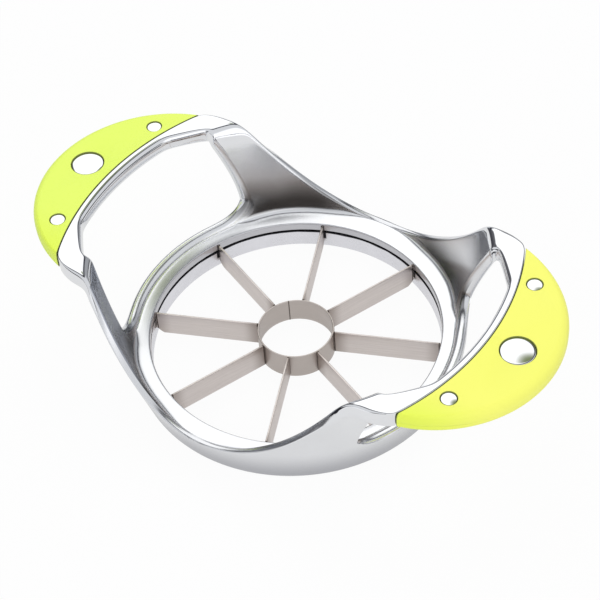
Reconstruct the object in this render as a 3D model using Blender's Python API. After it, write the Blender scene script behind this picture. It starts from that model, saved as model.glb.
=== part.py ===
"""Hand fruit slicer with eight blades round a core ring.

One chromed casting carries everything: a ring with a leaning wall, a wall crest that climbs in a curve
to the two handle ends, and a hand opening inside each handle. Eight blades stand in slots of the ring
and are welded to the core ring. A holder ring, screwed up into the casting, keeps them in their slots.
Each handle end has a two-part plastic grip round a tongue of the casting, screwed on from beneath.

Metres, +Z up. The casting stands on z = 0, the cutting ring is centred on the Z axis and the handles
lie along X. Nothing moves: the parts are one rigid assembly.
"""
import bmesh
import bpy
import math
from mathutils import Matrix, Vector

for old in list(bpy.data.objects):
    bpy.data.objects.remove(old, do_unlink=True)

# Clearances
GAP = 0.0003
OVERRUN = 0.001

# Ring of the casting
RIM_R = 0.0492
RIM_TOP_Z = 0.0107
RIM_ROUND = 0.0004
WEB_Z = 0.0075
FUNNEL_WIDTH = 0.005
FUNNEL_R = RIM_R + FUNNEL_WIDTH
FUNNEL_TOP_Z = 0.0117
VALLEY_ROUND = 0.0005
SKIRT_SPREAD = 0.0004
SKIRT_FOOT_R = FUNNEL_R + SKIRT_SPREAD
SKIRT_MIDDLE_Z = 0.0058
FOOT_ROUND = 0.0004
SKIRT_WALL = 0.001
POCKET_R = SKIRT_FOOT_R - SKIRT_WALL

# Leaning wall and its crest
WALL_LEAN = math.radians(15.1)
WALL = 0.0027
CREST_LOW_Z = 0.0121
CREST_BAND_LOW = 0.0019
CREST_REACH_SHARE = 0.9286
CREST_REACH_X = SKIRT_FOOT_R * CREST_REACH_SHARE
CREST_POWER = 2.2
EDGE_ROUND = 0.0006

# Handle ends and hand openings, with plan places as shares of the skirt's foot radius
HANDLE_TOP_Z = 0.0473
PLATE_THICKNESS = 0.006
CREST_END_DROP = 0.005
BEND_DROP = 0.0027
FOOT_LINE_ANGLE = math.radians(50.0)
CROTCH_ANGLE = math.radians(40.4)
CROTCH_Z = 0.019
ARM_TOP_ANGLE = math.radians(32.3)
ARM_EDGE_SKEW = math.radians(3.5)
ARM_TOP_SKEW = math.radians(1.0)
ARM_EDGE_POWER = 1.3
ARM_EDGE_BULGE = 0.0009
SHOULDER_Z = 0.0125
SHOULDER_TURN = math.radians(13.4)
FOLD_OUTER_SHARES = Vector((0.9689, 0.7930))
FOLD_INNER_SHARES = Vector((1.0604, 0.6172))
CORNER_PULL_SHARES = Vector((1.0769, 0.7930))
OPENING_PULL_SHARES = Vector((1.1026, 0.5788))
OPENING_BEND_SHARE = 0.4267
FOLD_OUTER = FOLD_OUTER_SHARES * SKIRT_FOOT_R
FOLD_INNER = FOLD_INNER_SHARES * SKIRT_FOOT_R
CORNER_PULL = CORNER_PULL_SHARES * SKIRT_FOOT_R
OPENING_PULL = OPENING_PULL_SHARES * SKIRT_FOOT_R
OPENING_BEND_Y = OPENING_BEND_SHARE * SKIRT_FOOT_R
BAND_WIDTH = 0.0031
BAND_ROUND = 0.0009
GROOVE_ROUND = 0.0003

# Grips, with the same kind of shares
GRIP_SHARE = 0.7509
GRIP_CENTRE_SHARE = 0.989
GRIP_INNER_SHARE = 1.6648
GRIP_INNER_CENTRE_SHARE = -0.326
GRIP_R = GRIP_SHARE * SKIRT_FOOT_R
GRIP_CENTRE_X = GRIP_CENTRE_SHARE * SKIRT_FOOT_R
GRIP_INNER_R = GRIP_INNER_SHARE * SKIRT_FOOT_R
GRIP_INNER_CENTRE_X = GRIP_INNER_CENTRE_SHARE * SKIRT_FOOT_R
GRIP_ROUND = 0.003
GRIP_BASE_ROUND = 0.0014
GRIP_BASE_THICKNESS = 0.0022
GRIP_TIP_SHARE = 0.3
GRIP_SKIN = 0.0014
GRIP_WALL = 0.0019
TONGUE_ROOT = 0.0012

# Round bosses of the tongue that show in the grips' holes
BOSS_MIDDLE_SHARE = 1.5165
BOSS_END_SHARES = Vector((1.3608, 0.4872))
BOSS_MIDDLE_X = BOSS_MIDDLE_SHARE * SKIRT_FOOT_R
BOSS_MIDDLE_HOLE_R = 0.00565
BOSS_END_X = BOSS_END_SHARES.x * SKIRT_FOOT_R
BOSS_END_Y = BOSS_END_SHARES.y * SKIRT_FOOT_R
BOSS_END_HOLE_R = 0.00265
BOSS_SINK = 0.0003
BOSS_CROWN = 0.0004

# Blades and core ring
BLADE_COUNT = 8
BLADE_FIRST_ANGLE = math.radians(22.5)
BLADE_TOP_Z = 0.010
BLADE_HEIGHT = 0.0096
BLADE_THICKNESS = 0.0007
BLADE_TAB = 0.002
BLADE_TAB_LIFT = 0.0024
BLADE_CORNER = 0.0028
BLADE_GRIND = 0.0014
BLADE_EDGE = 0.00015
CORE_R = 0.013
CORE_WALL = 0.0006
CORE_SEAM = 0.0003
CORE_SEAM_ANGLE = math.radians(135.0)

# Holder ring under the casting's web
HOLDER_CHAMFER = 0.0003
RELIEF_R = 0.004
RELIEF_HEIGHT = 0.0017

# Screws
HOLDER_SCREW_COUNT = 4
HOLDER_SCREW_SHANK_R = 0.001
HOLDER_SCREW_HEAD_R = 0.0018
HOLDER_SCREW_HEAD = 0.0014
HOLDER_SCREW_INSET = 0.0002
HOLDER_SCREW_BITE = 0.0022
GRIP_SCREW_SHANK_R = 0.0009
GRIP_SCREW_HEAD_R = 0.0017
GRIP_SCREW_HEAD = 0.0008
GRIP_SCREW_BITE = 0.0023
RECESS_DEPTH = 0.0005
RECESS_R = 0.0008

# Mesh density
MIDWAY_SHARE = 0.5
BACK_STEPS = 9
ARM_STEPS = 4
WALL_STEPS = 4
TURN_STEPS = 4
SIDE_STEPS = 4
BEND_STEPS = 3
PLATE_STEPS = 14
ROUND_STEPS = 96
SMALL_ROUND_STEPS = 24
GRIP_STEPS = 28
ROUND_OFF_STEPS = 4


def outer_r(z):
    """Radius of the leaning wall's outer face at height z."""
    return SKIRT_FOOT_R + z * math.tan(WALL_LEAN)


def crest_z(x):
    """Height of the wall's crest above a point x along the handles."""
    return CREST_LOW_Z + (HANDLE_TOP_Z - CREST_LOW_Z) * (x / CREST_REACH_X) ** CREST_POWER


def crest_x(z):
    """The place along the handles where the crest has height z."""
    return CREST_REACH_X * ((z - CREST_LOW_Z) / (HANDLE_TOP_Z - CREST_LOW_Z)) ** (1 / CREST_POWER)


def lerp(a, b, share):
    return a + (b - a) * share


def curve(start, pull, end, share):
    """A point of the quadratic curve that leaves start towards pull and arrives at end."""
    return start.lerp(pull, share).lerp(pull.lerp(end, share), share)


def polar(r, angle, z):
    return Vector((r * math.cos(angle), r * math.sin(angle), z))


def material(name, colour, metallic, roughness):
    made = bpy.data.materials.new(name)
    made.use_nodes = True
    shader = made.node_tree.nodes["Principled BSDF"]
    shader.inputs["Base Color"].default_value = (*colour, 1.0)
    shader.inputs["Metallic"].default_value = metallic
    shader.inputs["Roughness"].default_value = roughness
    return made


def finish(name, bm, finish_material, sharp=math.radians(35.0)):
    """Turn a bmesh into a named object with smooth shading between the sharp edges."""
    mesh = bpy.data.meshes.new(name)
    bmesh.ops.recalc_face_normals(bm, faces=bm.faces)
    bm.to_mesh(mesh)
    bm.free()
    mesh.shade_smooth()
    mesh.set_sharp_from_angle(angle=sharp)
    made = bpy.data.objects.new(name, mesh)
    bpy.context.collection.objects.link(made)
    if finish_material:
        mesh.materials.append(finish_material)
    return made


def guide(made):
    """Mark an object that only cuts or joins others."""
    made.hide_render = True
    made.display_type = "WIRE"
    return made


def combine(target, other, operation):
    change = target.modifiers.new(operation.lower() + " " + other.name, "BOOLEAN")
    change.operation = operation
    change.object = other
    change.solver = "EXACT"


def sheet(bm, rows):
    """A grid of faces whose vertices are moved to the points of rows."""
    across = len(rows[0])
    grid = bmesh.ops.create_grid(bm, x_segments=across - 1, y_segments=len(rows) - 1, size=1.0)
    for index, vert in enumerate(grid["verts"]):
        vert.co = rows[index // across][index % across]


def turned(bm, profile, steps, angle=math.tau, start=0.0):
    """Spin a closed profile of (radius, z) points round the Z axis."""
    verts = [bm.verts.new(polar(r, start, z)) for r, z in profile]
    geom = [bm.edges.new((verts[i - 1], verts[i])) for i in range(len(verts))]
    whole = angle >= math.tau
    if not whole:
        geom = bmesh.ops.contextual_create(bm, geom=geom)["faces"]
    bmesh.ops.spin(bm, geom=geom, cent=(0, 0, 0), axis=(0, 0, 1), angle=angle, steps=steps,
                   use_merge=whole)


def prism(bm, outline, low, high):
    """Extrude a plan outline of Vectors from height low to height high."""
    verts = [bm.verts.new((point.x, point.y, low)) for point in outline]
    face = bm.faces.new(verts)
    lifted = bmesh.ops.extrude_face_region(bm, geom=[face])["geom"]
    top = [item for item in lifted if isinstance(item, bmesh.types.BMVert)]
    bmesh.ops.translate(bm, verts=top, vec=(0, 0, high - low))


def cylinder(bm, r, low, high, x, y, steps=SMALL_ROUND_STEPS):
    made = bmesh.ops.create_cone(bm, cap_ends=True, segments=steps, radius1=r, radius2=r, depth=high - low)
    bmesh.ops.translate(bm, verts=made["verts"], vec=(x, y, (low + high) / 2))


def box(bm, low, high, turn):
    """A block between two corners, turned about the Z axis."""
    made = bmesh.ops.create_cube(bm, size=1.0)
    size = high - low
    bmesh.ops.scale(bm, verts=made["verts"], vec=size)
    bmesh.ops.translate(bm, verts=made["verts"], vec=(low + high) / 2)
    bmesh.ops.rotate(bm, verts=made["verts"], cent=(0, 0, 0), matrix=Matrix.Rotation(turn, 3, "Z"))


def blade_angles():
    return [BLADE_FIRST_ANGLE + index * math.tau / BLADE_COUNT for index in range(BLADE_COUNT)]


# The casting, built for one quarter and mirrored

PLATE_LOW_Z = HANDLE_TOP_Z - PLATE_THICKNESS
CREST_END_Z = HANDLE_TOP_Z - CREST_END_DROP
CORNER_LINE_X = crest_x(CREST_END_Z)
CORNER_LINE_ANGLE = math.acos(CORNER_LINE_X / outer_r(CREST_END_Z))
WALL_TOP_Z = HANDLE_TOP_Z - BEND_DROP
CROTCH_SHARE = (CROTCH_Z - FUNNEL_TOP_Z) / (WALL_TOP_Z - FUNNEL_TOP_Z)
LEVEL_SHARES = [lerp(CROTCH_SHARE, 1.0, step / WALL_STEPS) for step in range(WALL_STEPS + 1)]


def wall_line(step):
    """One line up the wall: its angles at foot and top, its top heights, its thickness and its skew."""
    if step <= BACK_STEPS:
        share = step / BACK_STEPS
        x = CORNER_LINE_X * share
        top = crest_z(x)
        thickness = lerp(CREST_BAND_LOW, WALL, min(1.0, (top - CREST_LOW_Z) / (CROTCH_Z - CREST_LOW_Z)))
        foot_angle = lerp(math.pi / 2, FOOT_LINE_ANGLE, share)
        outer_top = min(top, PLATE_LOW_Z)
        return foot_angle, math.acos(x / outer_r(top)), top, outer_top, thickness, 0.0
    share = (step - BACK_STEPS) / ARM_STEPS
    inner_top = lerp(CREST_END_Z, WALL_TOP_Z, share)
    outer_top = lerp(PLATE_LOW_Z, PLATE_LOW_Z - BEND_DROP, share)
    foot_angle = lerp(FOOT_LINE_ANGLE, CROTCH_ANGLE, share)
    top_angle = lerp(CORNER_LINE_ANGLE, ARM_TOP_ANGLE, share)
    return foot_angle, top_angle, inner_top, outer_top, WALL, share


def wall_columns(step):
    """Inner and outer points of one wall line, from the crotch level up."""
    foot, top, inner_top, outer_top, thickness, lateral = wall_line(step)
    inner = []
    outer = []
    for share in LEVEL_SHARES:
        hold = CROTCH_SHARE * lateral
        climb = max(0.0, (share - hold) / (1 - hold))
        angle = lerp(foot, top, climb ** lerp(1.0, ARM_EDGE_POWER, lateral))
        round_off = min(EDGE_ROUND, (inner_top - FUNNEL_TOP_Z) / 2) if step <= BACK_STEPS else 0.0
        z = lerp(FUNNEL_TOP_Z, inner_top - round_off, share)
        inner.append(polar(outer_r(z) - thickness, angle, z))
        z = lerp(FUNNEL_TOP_Z, outer_top - round_off, share)
        skew = lateral * lerp(ARM_EDGE_SKEW, ARM_TOP_SKEW, (share - CROTCH_SHARE) / (1 - CROTCH_SHARE))
        outer.append(polar(outer_r(z), angle - skew, z))
    return inner, outer


def crest_chain(step):
    """Rounded top of the wall between its inner and outer faces."""
    foot, angle, top, _, thickness, _ = wall_line(step)
    inner, outer = wall_columns(step)
    round_off = min(EDGE_ROUND, thickness / 3)
    return [inner[-1], polar(outer_r(top) - thickness + round_off, angle, top),
            polar(outer_r(top) - round_off, angle, top), outer[-1]]


def ring_inside(angle, thickness):
    """Section of the ring from the skirt's middle, round the pocket and rim, to the wall's foot."""
    valley = Vector((outer_r(FUNNEL_TOP_Z) - thickness, FUNNEL_TOP_Z))
    rim = Vector((RIM_R, RIM_TOP_Z))
    start = rim.lerp(valley, (FUNNEL_R - RIM_R) / (valley.x - RIM_R))
    rise = Vector((math.tan(WALL_LEAN), 1.0)) * min(VALLEY_ROUND, (CREST_LOW_Z - FUNNEL_TOP_Z) / 3)
    points = [
        (outer_r(SKIRT_MIDDLE_Z), SKIRT_MIDDLE_Z),
        (outer_r(FOOT_ROUND), FOOT_ROUND),
        (SKIRT_FOOT_R - FOOT_ROUND, 0.0),
        (POCKET_R, 0.0),
        (POCKET_R, WEB_Z),
        (RIM_R, WEB_Z),
        (RIM_R, RIM_TOP_Z - RIM_ROUND),
        (RIM_R + RIM_ROUND, RIM_TOP_Z),
        tuple(rim.lerp(start, MIDWAY_SHARE)),
        tuple(start),
        tuple(curve(start, valley, valley + rise, MIDWAY_SHARE)),
        tuple(valley + rise),
    ]
    return [polar(r, angle, z) for r, z in points]


def edge_chain(inner, outer, outward):
    """Rounded edge between an inner and an outer point, bulging along outward."""
    middle = (inner + outer) / 2 + outward * ARM_EDGE_BULGE * 2
    return [curve(inner, middle, outer, share) for share in (0.0, 1 / 3, 2 / 3, 1.0)]


def rails(share):
    """Plan points of the handle band's outer and inner sides, from the fold to the middle."""
    tip_share = 2 / 7
    bend_share = 4 / 7
    tip_y = grip_tip().y
    if share <= tip_share:
        outer = curve(FOLD_OUTER, CORNER_PULL, grip_tip(), share / tip_share)
    else:
        y = tip_y * (1 - share) / (1 - tip_share)
        outer = Vector((GRIP_INNER_CENTRE_X + math.sqrt(GRIP_INNER_R ** 2 - y * y), y))
    inner_r = GRIP_INNER_R - BAND_WIDTH
    bend = Vector((GRIP_INNER_CENTRE_X + math.sqrt(inner_r ** 2 - OPENING_BEND_Y ** 2), OPENING_BEND_Y))
    if share <= bend_share:
        inner = curve(FOLD_INNER, OPENING_PULL, bend, share / bend_share)
    else:
        y = OPENING_BEND_Y * (1 - share) / (1 - bend_share)
        inner = Vector((GRIP_INNER_CENTRE_X + math.sqrt(inner_r ** 2 - y * y), y))
    return outer, inner


def plate_row(share):
    """Top, inner side, underside and outer side of the handle band at one place along it."""
    outer, inner = rails(share)
    across = (inner - outer).normalized()
    outer_round = lerp(BAND_ROUND, GROOVE_ROUND, min(1.0, share * 7 / 2))
    start = outer + across * outer_round
    end = inner - across * BAND_ROUND
    top = []
    low = []
    for step in range(ARM_STEPS + 1):
        place = start.lerp(end, step / ARM_STEPS)
        top.append(Vector((place.x, place.y, HANDLE_TOP_Z)))
        low.append(Vector((place.x, place.y, PLATE_LOW_Z)))
    inner_side = [top[-1], Vector((*inner, HANDLE_TOP_Z - BAND_ROUND)),
                  Vector((*inner, PLATE_LOW_Z + BAND_ROUND)), low[-1]]
    outer_side = [top[0], Vector((*outer, HANDLE_TOP_Z - outer_round)),
                  Vector((*outer, PLATE_LOW_Z + outer_round)), low[0]]
    return top, inner_side, low, outer_side


def bend_row(wall, plate, share):
    """Points part of the way round the bend from the wall into the plate."""
    row = []
    for below, beyond in zip(wall, plate):
        outwards = Vector((below.x, below.y, 0)).normalized()
        rise = beyond.z - below.z
        pull = below + outwards * rise * math.tan(WALL_LEAN) + Vector((0, 0, rise))
        row.append(curve(below, pull, beyond, share))
    return row


def frame_quarter():
    bm = bmesh.new()
    last = BACK_STEPS + ARM_STEPS
    columns = [wall_columns(step) for step in range(last + 1)]

    body = []
    for step, (inner, outer) in enumerate(columns):
        foot_angle, _, _, _, thickness, _ = wall_line(step)
        body.append(outer[::-1] + ring_inside(foot_angle, thickness) + inner)
    sheet(bm, body)
    sheet(bm, [crest_chain(step) for step in range(BACK_STEPS + 1)])

    # Ring beside the hand opening, its shoulder climbing to the crotch
    side = []
    for step in range(TURN_STEPS + SIDE_STEPS + 1):
        if step <= TURN_STEPS:
            turn = math.pi / 2 * (1 - step / TURN_STEPS)
            angle = CROTCH_ANGLE - SHOULDER_TURN * (1 - math.sin(turn))
            z = lerp(CROTCH_Z, SHOULDER_Z, math.cos(turn))
        else:
            turn = 0.0
            angle = (CROTCH_ANGLE - SHOULDER_TURN) * (TURN_STEPS + SIDE_STEPS - step) / SIDE_STEPS
            z = SHOULDER_Z
        back = Vector((math.sin(angle), -math.cos(angle), 0))
        inner = polar(outer_r(z) - WALL, angle, z)
        outer = polar(outer_r(z), angle - ARM_EDGE_SKEW * angle / CROTCH_ANGLE, z)
        if step == 0:
            inner, outer = columns[last][0][0], columns[last][1][0]
        outward = back * math.sin(turn) + Vector((0, 0, math.cos(turn)))
        chain = edge_chain(inner, outer, outward)
        side.append(chain + ring_inside(angle, WALL) + chain[:1])
    sheet(bm, side)

    # Wall into handle plate: top, inner edge, underside and outer edge
    plates = [plate_row(step / PLATE_STEPS) for step in range(PLATE_STEPS + 1)]
    top_wall = [columns[step][0][-1] for step in range(BACK_STEPS, last + 1)]
    low_wall = [columns[step][1][-1] for step in range(BACK_STEPS, last + 1)]
    edges = [side[0][:4]]
    for inner, outer in list(zip(*columns[last]))[1:]:
        angle = math.atan2(inner.y, inner.x)
        edges.append(edge_chain(inner, outer, Vector((math.sin(angle), -math.cos(angle), 0))))
    strips = [
        ([top_wall], [plate[0] for plate in plates]),
        (edges, [plate[1] for plate in plates]),
        ([low_wall], [plate[2] for plate in plates]),
        ([crest_chain(BACK_STEPS)], [plate[3] for plate in plates]),
    ]
    for before, after in strips:
        bend = [bend_row(before[-1], after[0], step / BEND_STEPS) for step in range(1, BEND_STEPS)]
        sheet(bm, before + bend + after)
    bmesh.ops.remove_doubles(bm, verts=bm.verts, dist=GAP / 100)
    return bm


def grip_tip():
    """Plan point where the grip's outer round meets the chromed band."""
    span = GRIP_CENTRE_X - GRIP_INNER_CENTRE_X
    along = (GRIP_INNER_R ** 2 - GRIP_R ** 2 + span ** 2) / (2 * span)
    return Vector((GRIP_INNER_CENTRE_X + along, math.sqrt(GRIP_INNER_R ** 2 - along ** 2)))


def crescent(outer_radius, inner_radius, steps=GRIP_STEPS):
    """Plan outline between the grip's outer round and the band's round."""
    span = GRIP_CENTRE_X - GRIP_INNER_CENTRE_X
    along = (inner_radius ** 2 - outer_radius ** 2 + span ** 2) / (2 * span)
    tip_y = math.sqrt(inner_radius ** 2 - along ** 2)
    sweep = math.atan2(tip_y, along - span)
    inner_sweep = math.atan2(tip_y, along)
    outline = []
    for step in range(steps + 1):
        angle = lerp(-sweep, sweep, step / steps)
        outline.append(Vector((GRIP_CENTRE_X + outer_radius * math.cos(angle), outer_radius * math.sin(angle))))
    for step in range(1, steps):
        angle = lerp(inner_sweep, -inner_sweep, step / steps)
        outline.append(Vector((GRIP_INNER_CENTRE_X + inner_radius * math.cos(angle),
                               inner_radius * math.sin(angle))))
    return outline


def boss_places():
    """Each boss of the right handle: its name, x, y and hole radius."""
    return [("middle", BOSS_MIDDLE_X, 0.0, BOSS_MIDDLE_HOLE_R),
            ("back", BOSS_END_X, BOSS_END_Y, BOSS_END_HOLE_R),
            ("front", BOSS_END_X, -BOSS_END_Y, BOSS_END_HOLE_R)]


TONGUE_LOW_Z = PLATE_LOW_Z + GRIP_BASE_THICKNESS + GAP
TONGUE_TOP_Z = HANDLE_TOP_Z - GRIP_SKIN - GAP
TONGUE_R = GRIP_R - GRIP_WALL - GAP
BOSS_TOP_Z = HANDLE_TOP_Z - BOSS_SINK
BLADE_LOW_Z = BLADE_TOP_Z - BLADE_HEIGHT
BLADE_OUTER_R = RIM_R + BLADE_TAB
HOLDER_TOP_Z = WEB_Z - GAP
HOLDER_R = POCKET_R - GAP
HOLDER_SCREW_CIRCLE_R = HOLDER_R - HOLDER_SCREW_HEAD_R
SIDES = (("left", -1.0), ("right", 1.0))


def boss(bm, x, y, r):
    """A round boss on the tongue with a crowned top."""
    skirt_z = BOSS_TOP_Z - BOSS_CROWN
    profile = [(0.0, TONGUE_LOW_Z), (r, TONGUE_LOW_Z), (r, skirt_z)]
    profile += [(r * share, BOSS_TOP_Z - BOSS_CROWN * share ** 2) for share in (0.85, 0.6, 0.3)]
    profile.append((0.0, BOSS_TOP_Z))
    verts = [bm.verts.new((radius, 0, z)) for radius, z in profile]
    edges = [bm.edges.new((verts[i], verts[i + 1])) for i in range(len(verts) - 1)]
    made = bmesh.ops.spin(bm, geom=verts + edges, cent=(0, 0, 0), axis=(0, 0, 1), angle=math.tau,
                          steps=SMALL_ROUND_STEPS, use_merge=True)
    fresh = set(verts)
    for edge in edges:
        fresh.update(edge.verts)
    linked = set()
    waiting = list(fresh)
    while waiting:
        vert = waiting.pop()
        if vert in linked:
            continue
        linked.add(vert)
        waiting.extend(edge.other_vert(vert) for edge in vert.link_edges)
    bmesh.ops.remove_doubles(bm, verts=list(linked), dist=GAP / 100)
    alive = [vert for vert in linked if vert.is_valid]
    bmesh.ops.translate(bm, verts=alive, vec=(x, y, 0))


def make_frame(chrome):
    frame = finish("frame", frame_quarter(), chrome)
    mirror = frame.modifiers.new("both halves", "MIRROR")
    mirror.use_axis = (True, True, False)
    mirror.merge_threshold = GAP / 10
    for side, direction in SIDES:
        bm = bmesh.new()
        outline = crescent(TONGUE_R, GRIP_INNER_R - TONGUE_ROOT)
        prism(bm, outline, TONGUE_LOW_Z, TONGUE_TOP_Z)
        if direction < 0:
            bmesh.ops.scale(bm, verts=bm.verts, vec=(-1, 1, 1))
        combine(frame, guide(finish("tongue " + side, bm, None)), "UNION")
        for place, x, y, hole_r in boss_places():
            bm = bmesh.new()
            boss(bm, x * direction, y, hole_r - GAP)
            combine(frame, guide(finish("boss " + side + " " + place, bm, None)), "UNION")
    bm = bmesh.new()
    for angle in blade_angles():
        half = BLADE_THICKNESS / 2 + GAP
        box(bm, Vector((RIM_R - OVERRUN, -half, WEB_Z - OVERRUN)),
            Vector((BLADE_OUTER_R + GAP, half, BLADE_TOP_Z + GAP)), angle)
    for index in range(HOLDER_SCREW_COUNT):
        angle = index * math.tau / HOLDER_SCREW_COUNT
        place = polar(HOLDER_SCREW_CIRCLE_R, angle, 0)
        cylinder(bm, HOLDER_SCREW_SHANK_R + GAP, WEB_Z - OVERRUN, WEB_Z + HOLDER_SCREW_BITE + GAP,
                 place.x, place.y, SMALL_ROUND_STEPS // 2)
    for side, direction in SIDES:
        for place, x, y, _ in boss_places():
            cylinder(bm, GRIP_SCREW_SHANK_R + GAP, TONGUE_LOW_Z - OVERRUN,
                     TONGUE_LOW_Z + GRIP_SCREW_BITE + GAP, x * direction, y, SMALL_ROUND_STEPS // 2)
    combine(frame, guide(finish("slots and screw holes", bm, None)), "DIFFERENCE")


def make_core_ring(steel):
    bm = bmesh.new()
    low = BLADE_LOW_Z
    inner = CORE_R - CORE_WALL
    profile = [(CORE_R, BLADE_TOP_Z), (inner, BLADE_TOP_Z), (inner, low + BLADE_GRIND),
               (CORE_R - BLADE_EDGE, low), (CORE_R, low)]
    seam = CORE_SEAM / CORE_R
    turned(bm, profile, ROUND_STEPS // 2, math.tau - seam, CORE_SEAM_ANGLE + seam / 2)
    finish("core_ring", bm, steel)


def make_blades(steel):
    """Flat blades, ground sharp below, with a tab at the outer end and a cut corner beside it."""
    half = BLADE_THICKNESS / 2
    inner = CORE_R + GAP
    wall = RIM_R - GAP
    low = BLADE_LOW_Z
    tab_z = low + BLADE_TAB_LIFT
    ground_z = low + BLADE_GRIND
    edge = BLADE_EDGE / 2
    corner_x = wall - BLADE_CORNER
    ground_x = lerp(corner_x, wall, BLADE_GRIND / BLADE_TAB_LIFT)
    side = [(inner, ground_z), (ground_x, ground_z), (wall, tab_z), (BLADE_OUTER_R, tab_z),
            (BLADE_OUTER_R, BLADE_TOP_Z), (inner, BLADE_TOP_Z)]
    bm = bmesh.new()
    front = [bm.verts.new((x, -half, z)) for x, z in side]
    face = bm.faces.new(front)
    lifted = bmesh.ops.extrude_face_region(bm, geom=[face])["geom"]
    bmesh.ops.translate(bm, verts=[v for v in lifted if isinstance(v, bmesh.types.BMVert)],
                        vec=(0, BLADE_THICKNESS, 0))
    under = [f for f in bm.faces if all(abs(v.co.z - ground_z) < GAP / 100 for v in f.verts)]
    sharp = bmesh.ops.extrude_face_region(bm, geom=under)["geom"]
    bmesh.ops.delete(bm, geom=under, context="FACES_ONLY")
    for vert in sharp:
        if isinstance(vert, bmesh.types.BMVert):
            vert.co.z = low
            vert.co.y = math.copysign(edge, vert.co.y)
            if vert.co.x > inner + GAP:
                vert.co.x = corner_x
    bmesh.ops.recalc_face_normals(bm, faces=bm.faces)
    first = finish("blade_1", bm, steel, math.radians(5.0))
    for index, angle in enumerate(blade_angles()):
        blade = first
        if index:
            blade = bpy.data.objects.new("blade_" + str(index + 1), first.data)
            bpy.context.collection.objects.link(blade)
        blade.rotation_euler = (0, 0, angle)


def make_holder_ring(satin):
    bm = bmesh.new()
    chamfer = HOLDER_CHAMFER
    profile = [(HOLDER_R, 0.0), (HOLDER_R, HOLDER_TOP_Z), (RIM_R, HOLDER_TOP_Z),
               (RIM_R, chamfer), (RIM_R + chamfer, 0.0)]
    turned(bm, profile, ROUND_STEPS)
    holder = finish("holder_ring", bm, satin)
    bm = bmesh.new()
    half = BLADE_THICKNESS / 2 + GAP
    for angle in blade_angles():
        box(bm, Vector((RIM_R - OVERRUN, -half, BLADE_LOW_Z + BLADE_TAB_LIFT - GAP)),
            Vector((BLADE_OUTER_R + GAP, half, HOLDER_TOP_Z + OVERRUN)), angle)
    combine(holder, guide(finish("blade slots", bm, None)), "DIFFERENCE")
    bm = bmesh.new()
    for angle in blade_angles():
        made = bmesh.ops.create_cone(bm, cap_ends=True, segments=SMALL_ROUND_STEPS, radius1=RELIEF_R,
                                     radius2=RELIEF_R, depth=HOLDER_R - RIM_R + 2 * OVERRUN)
        bmesh.ops.rotate(bm, verts=made["verts"], cent=(0, 0, 0), matrix=Matrix.Rotation(math.pi / 2, 3, "Y"))
        middle = (HOLDER_R + RIM_R) / 2
        bmesh.ops.translate(bm, verts=made["verts"], vec=(middle, 0, RELIEF_HEIGHT - RELIEF_R))
        bmesh.ops.rotate(bm, verts=made["verts"], cent=(0, 0, 0), matrix=Matrix.Rotation(angle, 3, "Z"))
    combine(holder, guide(finish("reliefs under the blades", bm, None)), "DIFFERENCE")
    bm = bmesh.new()
    head_z = HOLDER_SCREW_INSET + HOLDER_SCREW_HEAD + GAP
    for index in range(HOLDER_SCREW_COUNT):
        place = polar(HOLDER_SCREW_CIRCLE_R, index * math.tau / HOLDER_SCREW_COUNT, 0)
        cylinder(bm, HOLDER_SCREW_HEAD_R + GAP, -OVERRUN, head_z, place.x, place.y)
    combine(holder, guide(finish("screw head seats", bm, None)), "DIFFERENCE")
    bm = bmesh.new()
    for index in range(HOLDER_SCREW_COUNT):
        place = polar(HOLDER_SCREW_CIRCLE_R, index * math.tau / HOLDER_SCREW_COUNT, 0)
        cylinder(bm, HOLDER_SCREW_SHANK_R + GAP, 0.0, HOLDER_TOP_Z + OVERRUN, place.x, place.y,
                 SMALL_ROUND_STEPS // 2)
    combine(holder, guide(finish("screw holes", bm, None)), "DIFFERENCE")


def screw_mesh(name, steel, head_r, head, shank_r, length, steps):
    """A screw standing head down on z = 0, with a cross recess."""
    bm = bmesh.new()
    profile = [(shank_r, head), (head_r, head), (head_r, head / 3), (head_r * 0.8, 0.0), (0.0, 0.0)]
    tip = length - shank_r
    profile = [(0.0, length), (shank_r / 3, length), (shank_r, tip)] + profile
    verts = [bm.verts.new((radius, 0, z)) for radius, z in profile]
    edges = [bm.edges.new((verts[i], verts[i + 1])) for i in range(len(verts) - 1)]
    bmesh.ops.spin(bm, geom=verts + edges, cent=(0, 0, 0), axis=(0, 0, 1), angle=math.tau, steps=steps,
                   use_merge=True)
    bmesh.ops.remove_doubles(bm, verts=bm.verts, dist=GAP / 100)
    screw = finish(name, bm, steel)
    return screw


def make_screws(steel):
    head_low = HOLDER_SCREW_INSET
    length = WEB_Z + HOLDER_SCREW_BITE - head_low
    first = None
    for index in range(HOLDER_SCREW_COUNT):
        place = polar(HOLDER_SCREW_CIRCLE_R, index * math.tau / HOLDER_SCREW_COUNT, head_low)
        name = "holder_screw_" + str(index + 1)
        if first is None:
            first = screw_mesh(name, steel, HOLDER_SCREW_HEAD_R, HOLDER_SCREW_HEAD, HOLDER_SCREW_SHANK_R,
                               length, SMALL_ROUND_STEPS // 2)
            screw = first
        else:
            screw = bpy.data.objects.new(name, first.data)
            bpy.context.collection.objects.link(screw)
        screw.location = place
    first = None
    length = TONGUE_LOW_Z + GRIP_SCREW_BITE - PLATE_LOW_Z
    for side, direction in SIDES:
        for place, x, y, _ in boss_places():
            name = "grip_screw_" + side + "_" + place
            if first is None:
                first = screw_mesh(name, steel, GRIP_SCREW_HEAD_R, GRIP_SCREW_HEAD, GRIP_SCREW_SHANK_R,
                                   length, SMALL_ROUND_STEPS // 2)
                screw = first
            else:
                screw = bpy.data.objects.new(name, first.data)
                bpy.context.collection.objects.link(screw)
            screw.location = (x * direction, y, PLATE_LOW_Z)


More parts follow.
